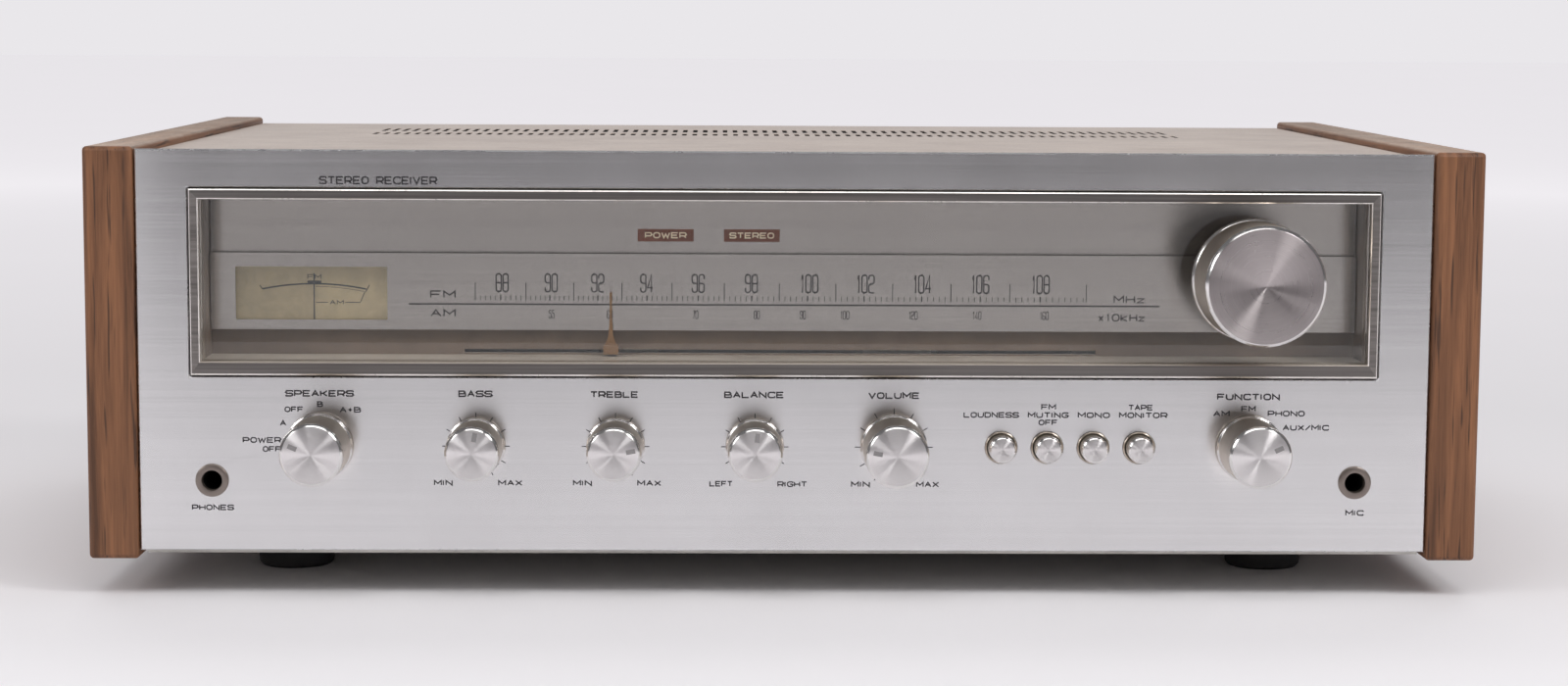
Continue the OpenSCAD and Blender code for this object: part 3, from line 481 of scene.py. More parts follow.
def lit(name, colour, glow, strength):
    """Coloured plastic with a lamp behind it; the glow is uneven, as a small bulb makes it."""
    made, tree, shader = finish(name, roughness=0.3, Emission_Strength=strength)
    worn = wear(tree, 220.0, 0.3)
    join(tree, shader["Base Color"], pair(tree, worn, colour, [c * 1.5 for c in colour]))
    join(tree, shader["Emission Color"], pair(tree, worn, [c * 0.7 for c in glow], glow))
    return made


GLASS = clear("window_glass", (0.97, 0.98, 0.98), 0.0, 0.02)
BULB = clear("lamp_bulb", (0.95, 0.88, 0.75), 0.05, 0.1)
WINDOW_BROWN = lit("indicator_brown", (0.060, 0.016, 0.006), (0.22, 0.05, 0.015), 0.25)
CARD = lit("meter_card_paper", (0.40, 0.31, 0.18), (0.55, 0.42, 0.22), 0.14)
print("finishes:", len(bpy.data.materials))


# %% [markdown]
# ## Shapes
# Two ways make nearly every piece. A turned piece is an outline of radius and depth swept
# round an axis, as on a lathe. A plate is a flat outline with holes, with a small chamfer
# that catches the light. Both are written straight as points and faces, because the sizes
# then stay exact and the faces carry their finish's number from the start.

# %% Make a Blender object from points and faces, and say which body carries it
def new_piece(name, points, faces, body, materials, face_materials=None, smooth=30):
    mesh = bpy.data.meshes.new(name)
    mesh.from_pydata([Vector(p) * MM for p in points], [], faces)
    for each in materials:
        mesh.materials.append(each)
    if face_materials:
        mesh.polygons.foreach_set("material_index", face_materials)
    if smooth:
        mesh.polygons.foreach_set("use_smooth", [True] * len(mesh.polygons))
        mesh.set_sharp_from_angle(angle=math.radians(smooth))
    mesh.update()
    piece = bpy.data.objects.new(name, mesh)
    scene.collection.objects.link(piece)
    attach(piece, body)
    print("made", name, "with", len(faces), "faces on", body)
    return piece


def tidy_normals(piece):
    """Turns every face's normal outward."""
    work = bmesh.new()
    work.from_mesh(piece.data)
    bmesh.ops.recalc_face_normals(work, faces=work.faces)
    work.to_mesh(piece.data)
    work.free()
    return piece


# %% The lathe: bands of the outline can have their own finish
def turned(name, place, outline, body, materials, bands=None, sides=96):
    """outline is (radius, depth) points from the front's middle outward and back. bands gives
    the finish's number for each stretch between two points."""
    x, z = place
    points, faces, kinds = [], [], []
    for radius, depth in outline:
        if radius == 0:
            points.append((x, FRONT + depth, z))
            continue
        for i in range(sides):
            angle = 2 * math.pi * i / sides
            points.append((x + radius * math.cos(angle), FRONT + depth, z + radius * math.sin(angle)))
    first = 0
    for step, ((r0, _), (r1, _)) in enumerate(zip(outline, outline[1:])):
        second = first + (1 if r0 == 0 else sides)
        for i in range(sides):
            j = (i + 1) % sides
            a = [first] if r0 == 0 else [first + j, first + i]
            b = [second] if r1 == 0 else [second + i, second + j]
            faces.append(a + b)
            kinds.append(bands[step] if bands else 0)
        first = second
    return new_piece(name, points, faces, body, materials, kinds)


# %% Outlines for plates: each can grow, which is how a chamfer finds its inner edge
def circle(x, z, radius, sides=64):
    def grown(by):
        return [(x + (radius + by) * math.cos(2 * math.pi * i / sides),
                 z + (radius + by) * math.sin(2 * math.pi * i / sides)) for i in range(sides)]
    return grown


def oblong(x0, x1, z0, z1, corner=0.0, steps=5):
    def grown(by):
        r = max(corner + by, 0.001) if corner else 0
        left, right, low, high = x0 - by, x1 + by, z0 - by, z1 + by
        if not r:
            return [(left, low), (right, low), (right, high), (left, high)]
        ring = []
        for cx, cz, start in ((right - r, low + r, -90), (right - r, high - r, 0),
                              (left + r, high - r, 90), (left + r, low + r, 180)):
            for i in range(steps + 1):
                angle = math.radians(start + 90 * i / steps)
                ring.append((cx + r * math.cos(angle), cz + r * math.sin(angle)))
        return ring
    return grown


def polygon(corners):
    return lambda by: list(corners)


# %% The plate maker: front face, chamfer, walls and back, with holes
def plate(name, outer, holes, depth, chamfer, body, materials, flat_on="front"):
    """The first material is the faces', the second the chamfer's, and the third the walls'.
    flat_on is front for outlines of (x, z) over a depth, or top for (x, depth) over a height."""
    points, faces, kinds = [], [], []

    def place(u, v, w):
        return (u, FRONT + w, v) if flat_on == "front" else (u, FRONT + v, w)

    def ring(loop, w):
        start = len(points)
        points.extend(place(u, v, w) for u, v in loop)
        return list(range(start, len(points)))

    near, far = depth
    step = chamfer if far > near else -chamfer
    levels = [(near, chamfer), (near + step, 0), (far - step, 0), (far, chamfer)]
    rims = []
    for shape, sign in [(outer, -1)] + [(hole, 1) for hole in holes]:
        rims.append([ring(shape(sign * inset), w) for w, inset in levels])
        for level, (a, b) in enumerate(zip(rims[-1], rims[-1][1:])):
            for i in range(len(a)):
                j = (i + 1) % len(a)
                quad = [a[i], a[j], b[j], b[i]]
                faces.append(quad if sign < 0 else quad[::-1])
                kinds.append(1 if level != 1 else 2)
    for level, flip in ((0, False), (3, True)):
        loops = [rim[level] for rim in rims]
        flat = [i for loop in loops for i in loop]
        corners = [[Vector((points[i][0], points[i][2] if flat_on == "front" else points[i][1], 0))
                    for i in loop] for loop in loops]
        for triangle in tessellate_polygon(corners):
            faces.append([flat[k] for k in (triangle if flip else triangle[::-1])])
            kinds.append(0)
    kinds = [min(kind, len(materials) - 1) for kind in kinds]
    return tidy_normals(new_piece(name, points, faces, body, materials, kinds))


# %% [markdown]
# ## Floor and light
# The receiver stands on a wide pale floor. Far from the lamps the floor gives off a little
# light of its own, so that it stays pale all the way and meets a pale surround.

# %% A flat sheet that belongs to the studio, not to the receiver
def studio_sheet(name, material, corners):
    mesh = bpy.data.meshes.new(name)
    mesh.from_pydata([Vector(corner) * MM for corner in corners], [], [[0, 1, 2, 3]])
    mesh.materials.append(material)
    sheet = bpy.data.objects.new(name, mesh)
    scene.collection.objects.link(sheet)
    print("studio:", name)
    return sheet


# %% The floor, 24 metres square
FLOOR_REACH = 12000


def floor():
    paint, tree, shader = finish("pale_floor", roughness=0.9)
    place = own_place(tree)
    join(tree, shader["Base Color"],
         pair(tree, noise(tree, place, 3.0, 3.0), (0.80, 0.785, 0.80), (0.84, 0.825, 0.84)))
    away = add(tree, "VectorMath", {"operation": "LENGTH"}, i0=place).outputs["Value"]
    shader["Emission Color"].default_value = (0.97, 0.95, 0.98, 1)
    join(tree, shader["Emission Strength"], remap(tree, away, 0.5, 2.3, 0.0, 0.50))
    signs = ((-1, -1), (1, -1), (1, 1), (-1, 1))
    studio_sheet("floor", paint, [(x * FLOOR_REACH, y * FLOOR_REACH, 0) for x, y in signs])


floor()


# %% [markdown]
# ### A dark card
# Polished metal looks deep only where it mirrors something dark. A studio puts a black card
# beside the camera for that; here only reflections see it.

# %% The dark card
CARD_X, CARD_Y, CARD_Z = (-340, 520), -835, (5, 1100)


def dark_card():
    cloth = finish("flag_cloth", (0.03, 0.026, 0.026), roughness=0.95)[0]
    corners = [(CARD_X[i], CARD_Y, CARD_Z[k]) for i, k in ((0, 0), (1, 0), (1, 1), (0, 1))]
    card = studio_sheet("flag", cloth, corners)
    for ray in ("camera", "diffuse", "shadow", "transmission"):
        setattr(card, "visible_" + ray, False)


dark_card()


# %% [markdown]
# ### Lamps and surround
# Large soft lamps stand over the front and behind; two small ones at the left and the right
# make the bright fans on turned aluminium. The surround is paler to the camera than to
# reflections, so that the metal keeps its depth against a white room.

# %% Soft lamps, each aimed at the front of the receiver
def soft_lamp(name, place, size, power, aim=(0, -0.05, 0.08)):
    data = bpy.data.lights.new(name, "AREA")
    data.shape = "RECTANGLE"
    data.size, data.size_y = size
    data.energy = power
    lamp = bpy.data.objects.new(name, data)
    scene.collection.objects.link(lamp)
    lamp.location = place
    lamp.rotation_euler = (Vector(aim) - Vector(place)).to_track_quat("-Z", "Y").to_euler()
    print("lamp:", name, power, "W")


soft_lamp("lamp_over", (0.0, -0.85, 1.45), (1.3, 0.8), 7.5)
soft_lamp("lamp_left", (-0.95, -0.62, 0.62), (0.36, 0.42), 3.2)
soft_lamp("lamp_right", (0.82, -0.70, 0.90), (0.36, 0.42), 5.0)
soft_lamp("lamp_back", (0.0, 0.95, 1.5), (2.2, 0.8), 8.0, aim=(0, 0.1, 0.1))

world = bpy.data.worlds.new("studio")
world.use_nodes = True
around = world.node_tree
back = around.nodes["Background"]
back.inputs[0].default_value = (0.96, 0.94, 0.97, 1)
rays = add(around, "LightPath").outputs
seen = remap(around, rays["Is Camera Ray"], 0.0, 1.0, 0.43, 0.85)
mirrored = remap(around, rays["Is Glossy Ray"], 0.0, 1.0, 0.0, 0.28)
join(around, back.inputs[1], sums(around, "SUBTRACT", seen, mirrored))
scene.world = world
scene.view_settings.view_transform = "Standard"


# %% [markdown]
# ## Knobs
# Each knob is turned from bar: a base flange, a straight side that collects dust, a polished
# bevel and a face with fine rings. The rings smear a lamp's reflection into two bright fans
# that meet in the middle, so the face needs an anisotropic finish and no image.

# %% One recipe for the six control knobs, at the sizes of their nodes
KNOB_FINISHES = [KNOB_FACE, KNOB_BEVEL, KNOB_SIDE]


def control_knob(name, index_angle):
    node = name + "_knob"
    low, high = span(node)
    x = knob_axes[name]
    base_r = (high.x - low.x) / 2
    face = low.y - FRONT
    rim = base_r - 0.7
    outline = [(0, face + 0.12), (0.5, face), (rim - 1.0, face), (rim - 0.85, face + 0.08),
               (rim - 0.12, face + 0.8), (rim, face + 1.0), (rim + 0.18, -3.2), (rim + 0.25, -3.0),
               (base_r - 0.12, -2.7), (base_r, -2.5), (base_r, -1.2), (base_r - 0.2, -1.0),
               (3.2, -1.0), (3.2, face + 5), (0, face + 5)]
    bands = [0, 0, 0, 1, 1, 2, 1, 1, 1, 2, 2, 2, 2, 2]
    knob = turned(node + "_turned", (x, row_z), outline, name, KNOB_FINISHES, bands)
    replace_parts(knob, node)
    turned(node + "_shaft", (x, row_z), [(0, face + 6.3), (3, face + 6.3), (3, 16), (0, 16)],
           name, [STEEL])
    notch_r = rim * 0.63
    length, width = 2.9, 1.5
    tilt = math.radians(index_angle)
    corners = []
    for across, out in ((-1, -1), (1, -1), (1, 1), (-1, 1)):
        u, v = across * width / 2, notch_r + out * length / 2
        corners.append((x + u * math.cos(tilt) + v * math.sin(tilt),
                        row_z - u * math.sin(tilt) + v * math.cos(tilt)))
    plate(node + "_index", polygon(corners), [], (face - 0.02, face + 0.3), 0.0, name,
          [INDEX_GREY])


for name, index_angle in (("speakers", -67), ("bass", 10), ("treble", 80), ("balance", 6),
                          ("volume", -80), ("function", 65)):
    control_knob(name, index_angle)
print("control knobs:", sorted(knob_axes))


# %% [markdown]
# ### The tuning knob
# The tuning knob is wider, with a deeper flange, and its face has a darker colour than the small
# knobs' faces: painted shade for its darker reflection. It needs more sides than the small ones,
# because a flat facet shows on a large polished rim.

# %% The large tuning knob
def tuning_knob():
    low, high = span("tuning_knob")
    base_r = (high.x - low.x) / 2
    face, base = low.y - FRONT, high.y - FRONT
    rim = base_r - 0.7
    outline = [(0, face + 0.15), (0.4, face), (rim - 1.1, face), (rim - 0.95, face + 0.1),
               (rim - 0.15, face + 0.85), (rim, face + 1.1), (rim + 0.15, base - 2.9),
               (rim + 0.2, base - 2.6), (base_r - 0.15, base - 2.3), (base_r, base - 2.1),
               (base_r, base - 0.3), (base_r - 0.3, base), (3.2, base), (3.2, -17), (0, -17)]
    bands = [0, 0, 0, 1, 1, 2, 1, 1, 1, 1, 2, 2, 2, 2]
    knob = turned("tuning_knob_turned", (tuning_x, tuning_z), outline, "tuning",
                  [TUNING_FACE_PAINTED_SHADE, *KNOB_FINISHES[1:]], bands, sides=160)
    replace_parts(knob, "tuning_knob")


tuning_knob()


# %% [markdown]
# ## Buttons, collars and sockets
# The buttons are small turned caps in pressed collars. A socket is a dark collar round a
# deep barrel of black plastic; its near-black colour is partly painted shade in the bore.

# %% Caps and collars
def push_button(name):
    node = name + "_button"
    low, high = span(node)
    r = (high.x - low.x) / 2
    face = low.y - FRONT
    outline = [(0, face + 0.08), (0.3, face), (r - 0.75, face), (r - 0.6, face + 0.07),
               (r - 0.1, face + 0.55), (r, face + 0.75), (r, 3), (2, 3), (2, 21), (0, 21)]
    cap = turned(node + "_turned", (button_axes[name], row_z), outline, name,
                 KNOB_FINISHES, [0, 0, 0, 1, 1, 2, 2, 2, 2], sides=64)
    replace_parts(cap, node)
    collar = [(4.6, 4.2), (4.6, -0.55), (4.72, -0.75), (4.85, -0.8), (5.0, -0.72), (5.15, -0.45),
              (5.2, -0.02), (4.95, -0.02), (4.95, 4.2), (4.6, 4.2)]
    return turned(node + "_collar", (button_axes[name], row_z), collar, "root",
                  [RING_METAL], sides=64)


collars = [push_button(name) for name in button_axes]
for collar in collars:
    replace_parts(collar, "button_rings")


# %% Sockets: collar, barrel and a box round the barrel
def socket(name):
    node = name + "_jack"
    place = jack_axes[name]
    collar = [(3.2, 2.0), (3.2, -0.6), (3.35, -0.85), (3.6, -0.9), (4.7, -0.9), (5.05, -0.75),
              (5.3, -0.4), (5.3, -0.02), (4.7, -0.02), (4.7, 2.0), (3.2, 2.0)]
    ring = turned(node + "_collar", place, collar, "root", [JACK_COLLAR], sides=64)
    barrel = [(3.2, 2.0), (3.2, 27), (0, 27)]
    lining = turned(node + "_barrel", place, barrel, "root", [BARREL_BLACK_AND_PAINTED_SHADE], sides=48)
    box_at = oblong(place[0] - 8, place[0] + 8, place[1] - 8, place[1] + 8, 0.8)
    body = plate(node + "_body", box_at, [circle(*place, 3.25)], (3.1, 30), 0.3, "root",
                 [DARK_PLASTIC])
    for piece in (ring, lining, body):
        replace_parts(piece, node)


for name in jack_axes:
    socket(name)


# %% [markdown]
# ## Faceplate and bezel
# The faceplate is cut from brushed sheet: the grain runs along it, and the cut edges stay
# bright. The bezel is darker metal; its inner and outer edges are cut at an angle, and those
# cuts are the bright lines round the window.

# %% Faceplate with its window and holes
BEZEL_GAP = 0.45
KNOB_HOLE, BUTTON_HOLE, SOCKET_HOLE = 3.8, 5.0, 4.8


def faceplate():
    holes = [oblong(bezel_low.x - BEZEL_GAP, bezel_high.x + BEZEL_GAP,
                    bezel_low.z - BEZEL_GAP, bezel_high.z + BEZEL_GAP)]
    holes += [circle(x, row_z, KNOB_HOLE) for x in knob_axes.values()]
    holes += [circle(x, row_z, BUTTON_HOLE) for x in button_axes.values()]
    holes += [circle(*place, SOCKET_HOLE) for place in jack_axes.values()]
    outer = oblong(face_low.x, face_high.x, face_low.z, face_high.z)
    made = plate("faceplate_sheet", outer, holes, (0, face_high.y - FRONT), 0.35, "root",
                 [FACE, FACE_EDGE, FACE])
    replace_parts(made, "faceplate")


faceplate()


# %% [markdown]
# ### Bezel
# The bezel is a bar with a cut edge, carried round a rectangle. Four bars of their own would
# leave joints, so each point of the bar's outline becomes a ring of four corners, and the
# sill can be taller than the other bars.

# %% Bezel
GLASS_GAP = 0.15


def bezel():
    window = (glass_low.x - GLASS_GAP, glass_high.x + GLASS_GAP,
              glass_low.z - GLASS_GAP, glass_high.z + GLASS_GAP)
    proud, back = bezel_low.y - FRONT, bezel_high.y - FRONT
    cut_width, sill_cut, cut_depth = 0.34, 0.55, 0.24
    bars = (window[0] - bezel_low.x, bezel_high.x - window[1], window[2] - bezel_low.z,
            bezel_high.z - window[3])
    rings = [((0, 0, 0, 0), back), ((0, 0, 0, 0), proud + cut_depth),
             ((cut_width, cut_width, sill_cut, cut_width), proud),
             (tuple(bar - cut_width for bar in bars), proud),
             (bars, proud + cut_depth), (bars, back)]
    points, faces, kinds = [], [], []
    for (left, right, sill, top), depth in rings:
        x0, x1 = bezel_low.x + left, bezel_high.x - right
        z0, z1 = bezel_low.z + sill, bezel_high.z - top
        points += [(x, FRONT + depth, z) for x, z in ((x0, z0), (x1, z0), (x1, z1), (x0, z1))]
    band = [(0, 0), (2, 2), (0, 1), (2, 2), (3, 3), (0, 0)]
    for k in range(len(rings)):
        for side in range(4):
            a, b, nxt = 4 * k, 4 * ((k + 1) % len(rings)), (side + 1) % 4
            faces.append([a + side, a + nxt, b + nxt, b + side])
            sill_lip = k == 3 and side == 0
            kinds.append(3 if sill_lip else band[k][side % 2])
    inner = brushed("bezel_inner_wall", (0.62, 0.56, 0.51), (0.50, 0.45, 0.41), 0.5,
                    (20, 600, 1800), dusty=1.0)
    made = new_piece("dial_bezel_frame", points, faces, "root",
                     [BEZEL_ACROSS, BEZEL_UPRIGHT, BRIGHT_EDGE, inner], kinds, smooth=0)
    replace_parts(tidy_normals(made), "dial_bezel")


bezel()


# %% [markdown]
# ## Cabinet
# The cheeks are veneered board. The grain stands upright on the narrow front edge and runs
# front to back on the wide sides. The cover is steel under a wood-patterned vinyl, with two
# rows of long slots, and years of dust have made it paler than the cheeks.

# %% A cheek: a rounded box whose narrow faces take the upright grain
def cheek(node):
    low, high = span(node)
    r = 1.4
    ring = oblong(low.x, high.x, low.z, high.z, r, steps=4)
    points, faces, kinds = [], [], []
    levels = [(low.y, r), (low.y + 0.3 * r, 0.3 * r), (low.y + r, 0), (high.y - r, 0),
              (high.y - 0.3 * r, 0.3 * r), (high.y, r)]
    for y, inset in levels:
        points += [(x, y, z) for x, z in ring(-inset)]
    count = len(ring(0))
    for level in range(len(levels) - 1):
        for i in range(count):
            a, b, j = level * count, (level + 1) * count, (i + 1) % count
            faces.append([a + i, a + j, b + j, b + i])
            kinds.append(1 if level == 2 else 0)
    faces.append(list(range(count)))
    faces.append(list(range((len(levels) - 1) * count, len(levels) * count))[::-1])
    kinds += [0, 0]
    made = new_piece(node + "_veneered", points, faces, "root",
                     [WALNUT_UPRIGHT, WALNUT_SIDE], kinds, smooth=50)
    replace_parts(tidy_normals(made), node)


cheek("left_cheek")
cheek("right_cheek")


# %% [markdown]
# ### The cover
# A folded sheet has a slotted top and turned-down sides and back. A boolean for each slot
# would be slow and leave ragged faces, so the slots are holes of one plate from the start.

# %% The cover: a slotted top with turned-down sides and back
VENT_COLUMNS, VENT_PITCH, VENT_WIDTH = 79, 3.85, 1.7
VENT_ROWS = ((170, 187), (200, 226))


def top_cover():
    low, high = span("top_cover")
    front, back = low.y - FRONT, high.y - FRONT
    sheet = 1.2
    slots = []
    for row in VENT_ROWS:
        for i in range(VENT_COLUMNS):
            x = (i - (VENT_COLUMNS - 1) / 2) * VENT_PITCH
            slots.append(oblong(x - VENT_WIDTH / 2, x + VENT_WIDTH / 2, *row, 0.84, steps=3))
    top = plate("top_cover_sheet", oblong(low.x, high.x, front, back, 0.5, steps=2), slots,
                (high.z, high.z - sheet), 0.15, "root",
                [COVER_VINYL, COVER_VINYL, BLACK_SCREW], flat_on="top")
    folds = []
    for side, x in (("left", (low.x, low.x + sheet)), ("right", (high.x - sheet, high.x))):
        folds.append(plate(f"top_cover_{side}_fold", oblong(*x, front, back), [],
                           (low.z, high.z - sheet), 0.1, "root", [COVER_VINYL],
                           flat_on="top"))
    screw_holes = [circle(x, 132, 1.7, sides=24) for x in (-196, -60, 60, 196)]
    rear_edge = oblong(low.x + sheet, high.x - sheet, low.z + 2, high.z - sheet)
    folds.append(plate("top_cover_rear_fold", rear_edge, screw_holes, (back - 0.5, back), 0.1, "root",
                       [COVER_VINYL]))
    for piece in [top] + folds:
        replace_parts(piece, "top_cover")


top_cover()
print("vent slots:", len(VENT_ROWS) * VENT_COLUMNS)


# %% [markdown]
# ## Printed lettering
# The legends are screen printed, so they are thin flat ink. Each letter is drawn with a few
# straight strokes on a grid of 8 by 8, as a draughtsman would, and a ribbon of constant width
# follows them. Wide letters with rounded corners suit the period.

# %% The strokes: each number pair is a point of the grid, from the lower left
STROKES = {
    "A": "00 48 80|23 63", "B": "04 74 78 08 00 80 84 74", "C": "86 88 08 00 80 82",
    "D": "00 08 88 80 00", "E": "80 00 08 88|04 74", "F": "00 08 88|04 74",
    "G": "86 88 08 00 80 84 44", "H": "00 08|80 88|04 84", "I": "40 48", "K": "00 08|88 34 04|34 80",
    "L": "08 00 80", "M": "00 08 43 88 80", "N": "00 08 80 88", "O": "00 08 88 80 00",
    "P": "00 08 88 83 03", "Y": "08 44 88|44 40", "R": "00 08 88 83 03|53 80",
    "S": "86 88 08 04 84 80 00 02", "T": "08 88|40 48", "U": "08 00 80 88", "V": "08 40 88",
    "W": "08 20 46 60 88", "X": "00 88|08 80", "k": "00 08|76 03 70", "x": "00 66|06 60",
    "z": "05 75 00 70",
    "+": "14 74|41 47", "/": "00 88", "0": "00 08 88 80 00", "1": "26 48 40",
    "2": "06 08 88 84 04 00 80", "4": "60 68 02 82", "5": "88 08 05 85 80 00 02",
    "6": "86 88 08 00 80 84 04", "7": "08 88 30", "8": "00 08 88 80 00|04 84",
    "9": "02 00 80 88 08 04 84",
}
ROUND_BOTH, ROUND_RIGHT = "CGOSU025689", "BDPR"
THIN = {"I": 0.12, "1": 0.55, "/": 0.8, "+": 0.8, "M": 1.12, "W": 1.25, " ": 0.7, "x": 0.8, "z": 0.9}


# %% Turn strokes into a ribbon
def rounded(points, letter, radius):
    """Cuts each corner that the letter rounds into three short steps."""
    closed = points[0] == points[-1]
    result = []
    count = len(points)
    for i, point in enumerate(points):
        inner = closed or 0 < i < count - 1
        wanted = letter in ROUND_BOTH or (letter in ROUND_RIGHT and point[0] > 0)
        if not (inner and wanted):
            result.append(Vector(point))
            continue
        if i == count - 1:
            result.append(result[0].copy())
            continue
        here = Vector(point)
        before = Vector(points[i - 1] if i else points[-2]) - here
        after = Vector(points[i + 1]) - here
        r = min(radius, before.length / 2, after.length / 2)
        start, end = here + before.normalized() * r, here + after.normalized() * r
        for t in (0, 0.3, 0.7, 1):
            result.append(start.lerp(here, t).lerp(here.lerp(end, t), t))
    return result


def ribbon(points, width, out):
    """Adds one flat band along the points to out, which is (points, faces)."""
    verts, faces = out
    closed = (points[0] - points[-1]).length < 1e-6
    if closed:
        points = points[:-1]
    count = len(points)
    first = len(verts)
    for i, here in enumerate(points):
        before = points[i - 1] if closed or i else None
        after = points[(i + 1) % count] if closed or i < count - 1 else None
        a = (here - before).normalized() if before is not None else (after - here).normalized()
        b = (after - here).normalized() if after is not None else a
        side = Vector((-(a.y + b.y), a.x + b.x))
        side = side.normalized() if side.length > 0.2 else Vector((-a.y, a.x))
        reach = width / 2 / max(0.45, side.dot(Vector((-a.y, a.x))))
        verts += [here + side * reach, here - side * reach]
    for i in range(count if closed else count - 1):
        j = (i + 1) % count
        faces.append([first + 2 * i, first + 2 * i + 1, first + 2 * j + 1, first + 2 * j])


def lettering(out, text, x, z, width, height, stroke, gap=0.34):
    """Draws text in out: x is its middle, z its foot, and height that of a capital."""
    advances = [THIN.get(letter, 1.0) for letter in text]
    total = sum(advances) + gap * (len(text) - 1)
    unit = (width - stroke) / total
    at = x - (width - stroke) / 2
    tall = height - stroke
    for letter, advance in zip(text, advances):
        for stroke_text in STROKES.get(letter, "").split("|"):
            if not stroke_text:
                continue
            grid = [(int(u), int(v)) for u, v in stroke_text.split()]
            if letter == "I":
                grid = [(0, v) for _, v in grid]
            scale_x, scale_z = unit * advance / 8, tall / 8
            points = [(u * scale_x, v * scale_z) for u, v in grid]
            path = [Vector((at, z + stroke / 2)) + p for p in rounded(points, letter, height * 0.36)]
            ribbon(path, stroke, out)
        at += unit * (advance + gap)


def ink(name, out, depth, material, side=1):
    """One flat piece of ink, just off its surface; side is -1 on the rear, which reads mirrored."""
    verts, faces = out
    points = [(side * p.x, FRONT + depth, p.y) for p in verts]
    faces = [face[::side] for face in faces]
    new_piece(name, points, faces, "root", [material], smooth=0)


def line(out, start, end, width):
    ribbon([Vector(start), Vector(end)], width, out)


# %% [markdown]
# ### Legends round the controls
# A name stands over each control, and small words stand by its positions. Each row gives a
# word, the middle of its foot and its width, so the words keep their places when the letters
# change. The tone controls also have eleven ticks, 30 degrees apart.

# %% Legends round the controls
INK_PROUD = 0.04


def legends():
    out = ([], [])
    heads = [("SPEAKERS", -148.9, 64.5, 21.8), ("BASS", -99.3, 64.5, 10.9),
             ("TREBLE", -55.0, 64.4, 15.4), ("BALANCE", -10.3, 64.4, 19.2),
             ("VOLUME", 34.5, 64.3, 16.5), ("FUNCTION", 148.5, 64.2, 20.3)]
    small = [("OFF", -157.1, 59.5, 6.0), ("B", -148.8, 61.2, 1.9), ("A+B", -139.2, 59.4, 6.8),
             ("A", -160.6, 55.1, 2.0), ("POWER", -167.4, 49.6, 12.3), ("OFF", -164.3, 46.7, 5.8),
             ("PHONES", -183.3, 27.8, 13.4), ("MIN", -109.7, 35.9, 6.0), ("MAX", -88.3, 35.9, 7.8),
             ("MIN", -65.2, 35.9, 6.1), ("MAX", -43.8, 35.9, 7.7), ("LEFT", -20.8, 35.8, 7.5),
             ("RIGHT", 2.1, 35.7, 9.6), ("MIN", 24.0, 35.7, 6.1), ("MAX", 45.6, 35.7, 7.4),
             ("LOUDNESS", 65.8, 58.3, 17.8), ("FM", 84.2, 60.9, 4.8), ("MUTING", 84.1, 58.3, 13.1),
             ("OFF", 84.1, 55.9, 6.2), ("MONO", 98.8, 58.3, 10.4), ("TAPE", 113.8, 60.8, 8.0),
             ("MONITOR", 114.7, 58.3, 15.6), ("AM", 139.9, 58.9, 5.4), ("FM", 148.6, 60.5, 4.7),
             ("PHONO", 160.8, 59.0, 12.0), ("AUX/MIC", 167.2, 54.4, 15.0), ("MIC", 183.7, 26.7, 6.0)]
    title = [("STEREO RECEIVER", -129.65, 132.3, 37.3)]
    for words, height, stroke in ((heads, 2.15, 0.48), (small, 1.85, 0.40), (title, 2.6, 0.46)):
        for text, x, z, width in words:
            lettering(out, text, x, z, width, height, stroke)
    for name in ("bass", "treble", "balance", "volume"):
        near, far = (10.6, 12.5) if name == "volume" else (9.2, 10.8)
        for step in range(-5, 6):
            angle = math.radians(30 * step)
            way = Vector((math.sin(angle), math.cos(angle)))
            centre = Vector((knob_axes[name], row_z))
            line(out, centre + way * near, centre + way * far, 0.28)
    ink("faceplate_legends", out, -INK_PROUD, INK)


legends()


# %% [markdown]
# ### The tuning scale
# The tuning capacitor isn't even, so neither is the scale: the steps widen from left to
# right. Long marks stand at odd megahertz, numbers between them, and fine marks at every
# fifth of a megahertz.

# %% The tuning scale
ODD_MARKS = (-100.7, -84.3, -68.8, -53.15, -36.9, -19.9, -2.0, 16.4, 34.9, 53.9, 73.1)
EVEN_NUMBERS = (-92.0, -76.1, -61.0, -45.1, -28.4, -11.1, 7.8, 26.1, 44.6, 63.5, 83.2)
AM_NUMBERS = ((55, -76.0), (60, -57.1), (70, -29.3), (80, -9.3), (90, 5.7), (100, 19.4),
              (120, 41.7), (140, 62.5), (160, 84.5))
SCALE_END, MARK_FOOT = 98.1, 93.8


def tuning_scale():
    out = ([], [])
    marks = list(ODD_MARKS) + [SCALE_END]
    for x in marks:
        line(out, (x, MARK_FOOT), (x, 99.5), 0.26)
    for i, (start, end) in enumerate(zip(marks, marks[1:])):
        steps = 10 if i < 10 else 12.5
        for k in range(1, math.ceil(steps)):
            x = start + (end - start) * k / steps
            top, width = (95.5, 0.42) if k == 5 else (95.3, 0.2)
            line(out, (x, MARK_FOOT), (x, top), width)
    for i, x in enumerate(EVEN_NUMBERS):
        megahertz = 88 + 2 * i
        lettering(out, str(megahertz), x, 96.4, 4.3 if megahertz < 100 else 5.9, 6.2, 0.42, gap=0.35)
    line(out, (-122.3, 92.5), (122.1, 92.5), 0.5)
    for number, x in AM_NUMBERS:
        lettering(out, str(number), x, 87.9, 1.95 if number < 100 else 2.9, 2.8, 0.24, gap=0.35)
    units = (("FM", -111.2, 94.4, 8.2, 0.42), ("AM", -111.2, 88.3, 8.2, 0.42),
             ("MHz", 112.3, 93.5, 10.4, 0.40), ("x10kHz", 109.9, 87.5, 15.4, 0.40))
    for text, x, z, width, stroke in units:
        lettering(out, text, x, z, width, 2.5, stroke)
    ink("scale_print", out, span("scale_plate")[0].y - FRONT - INK_PROUD, INK)


tuning_scale()


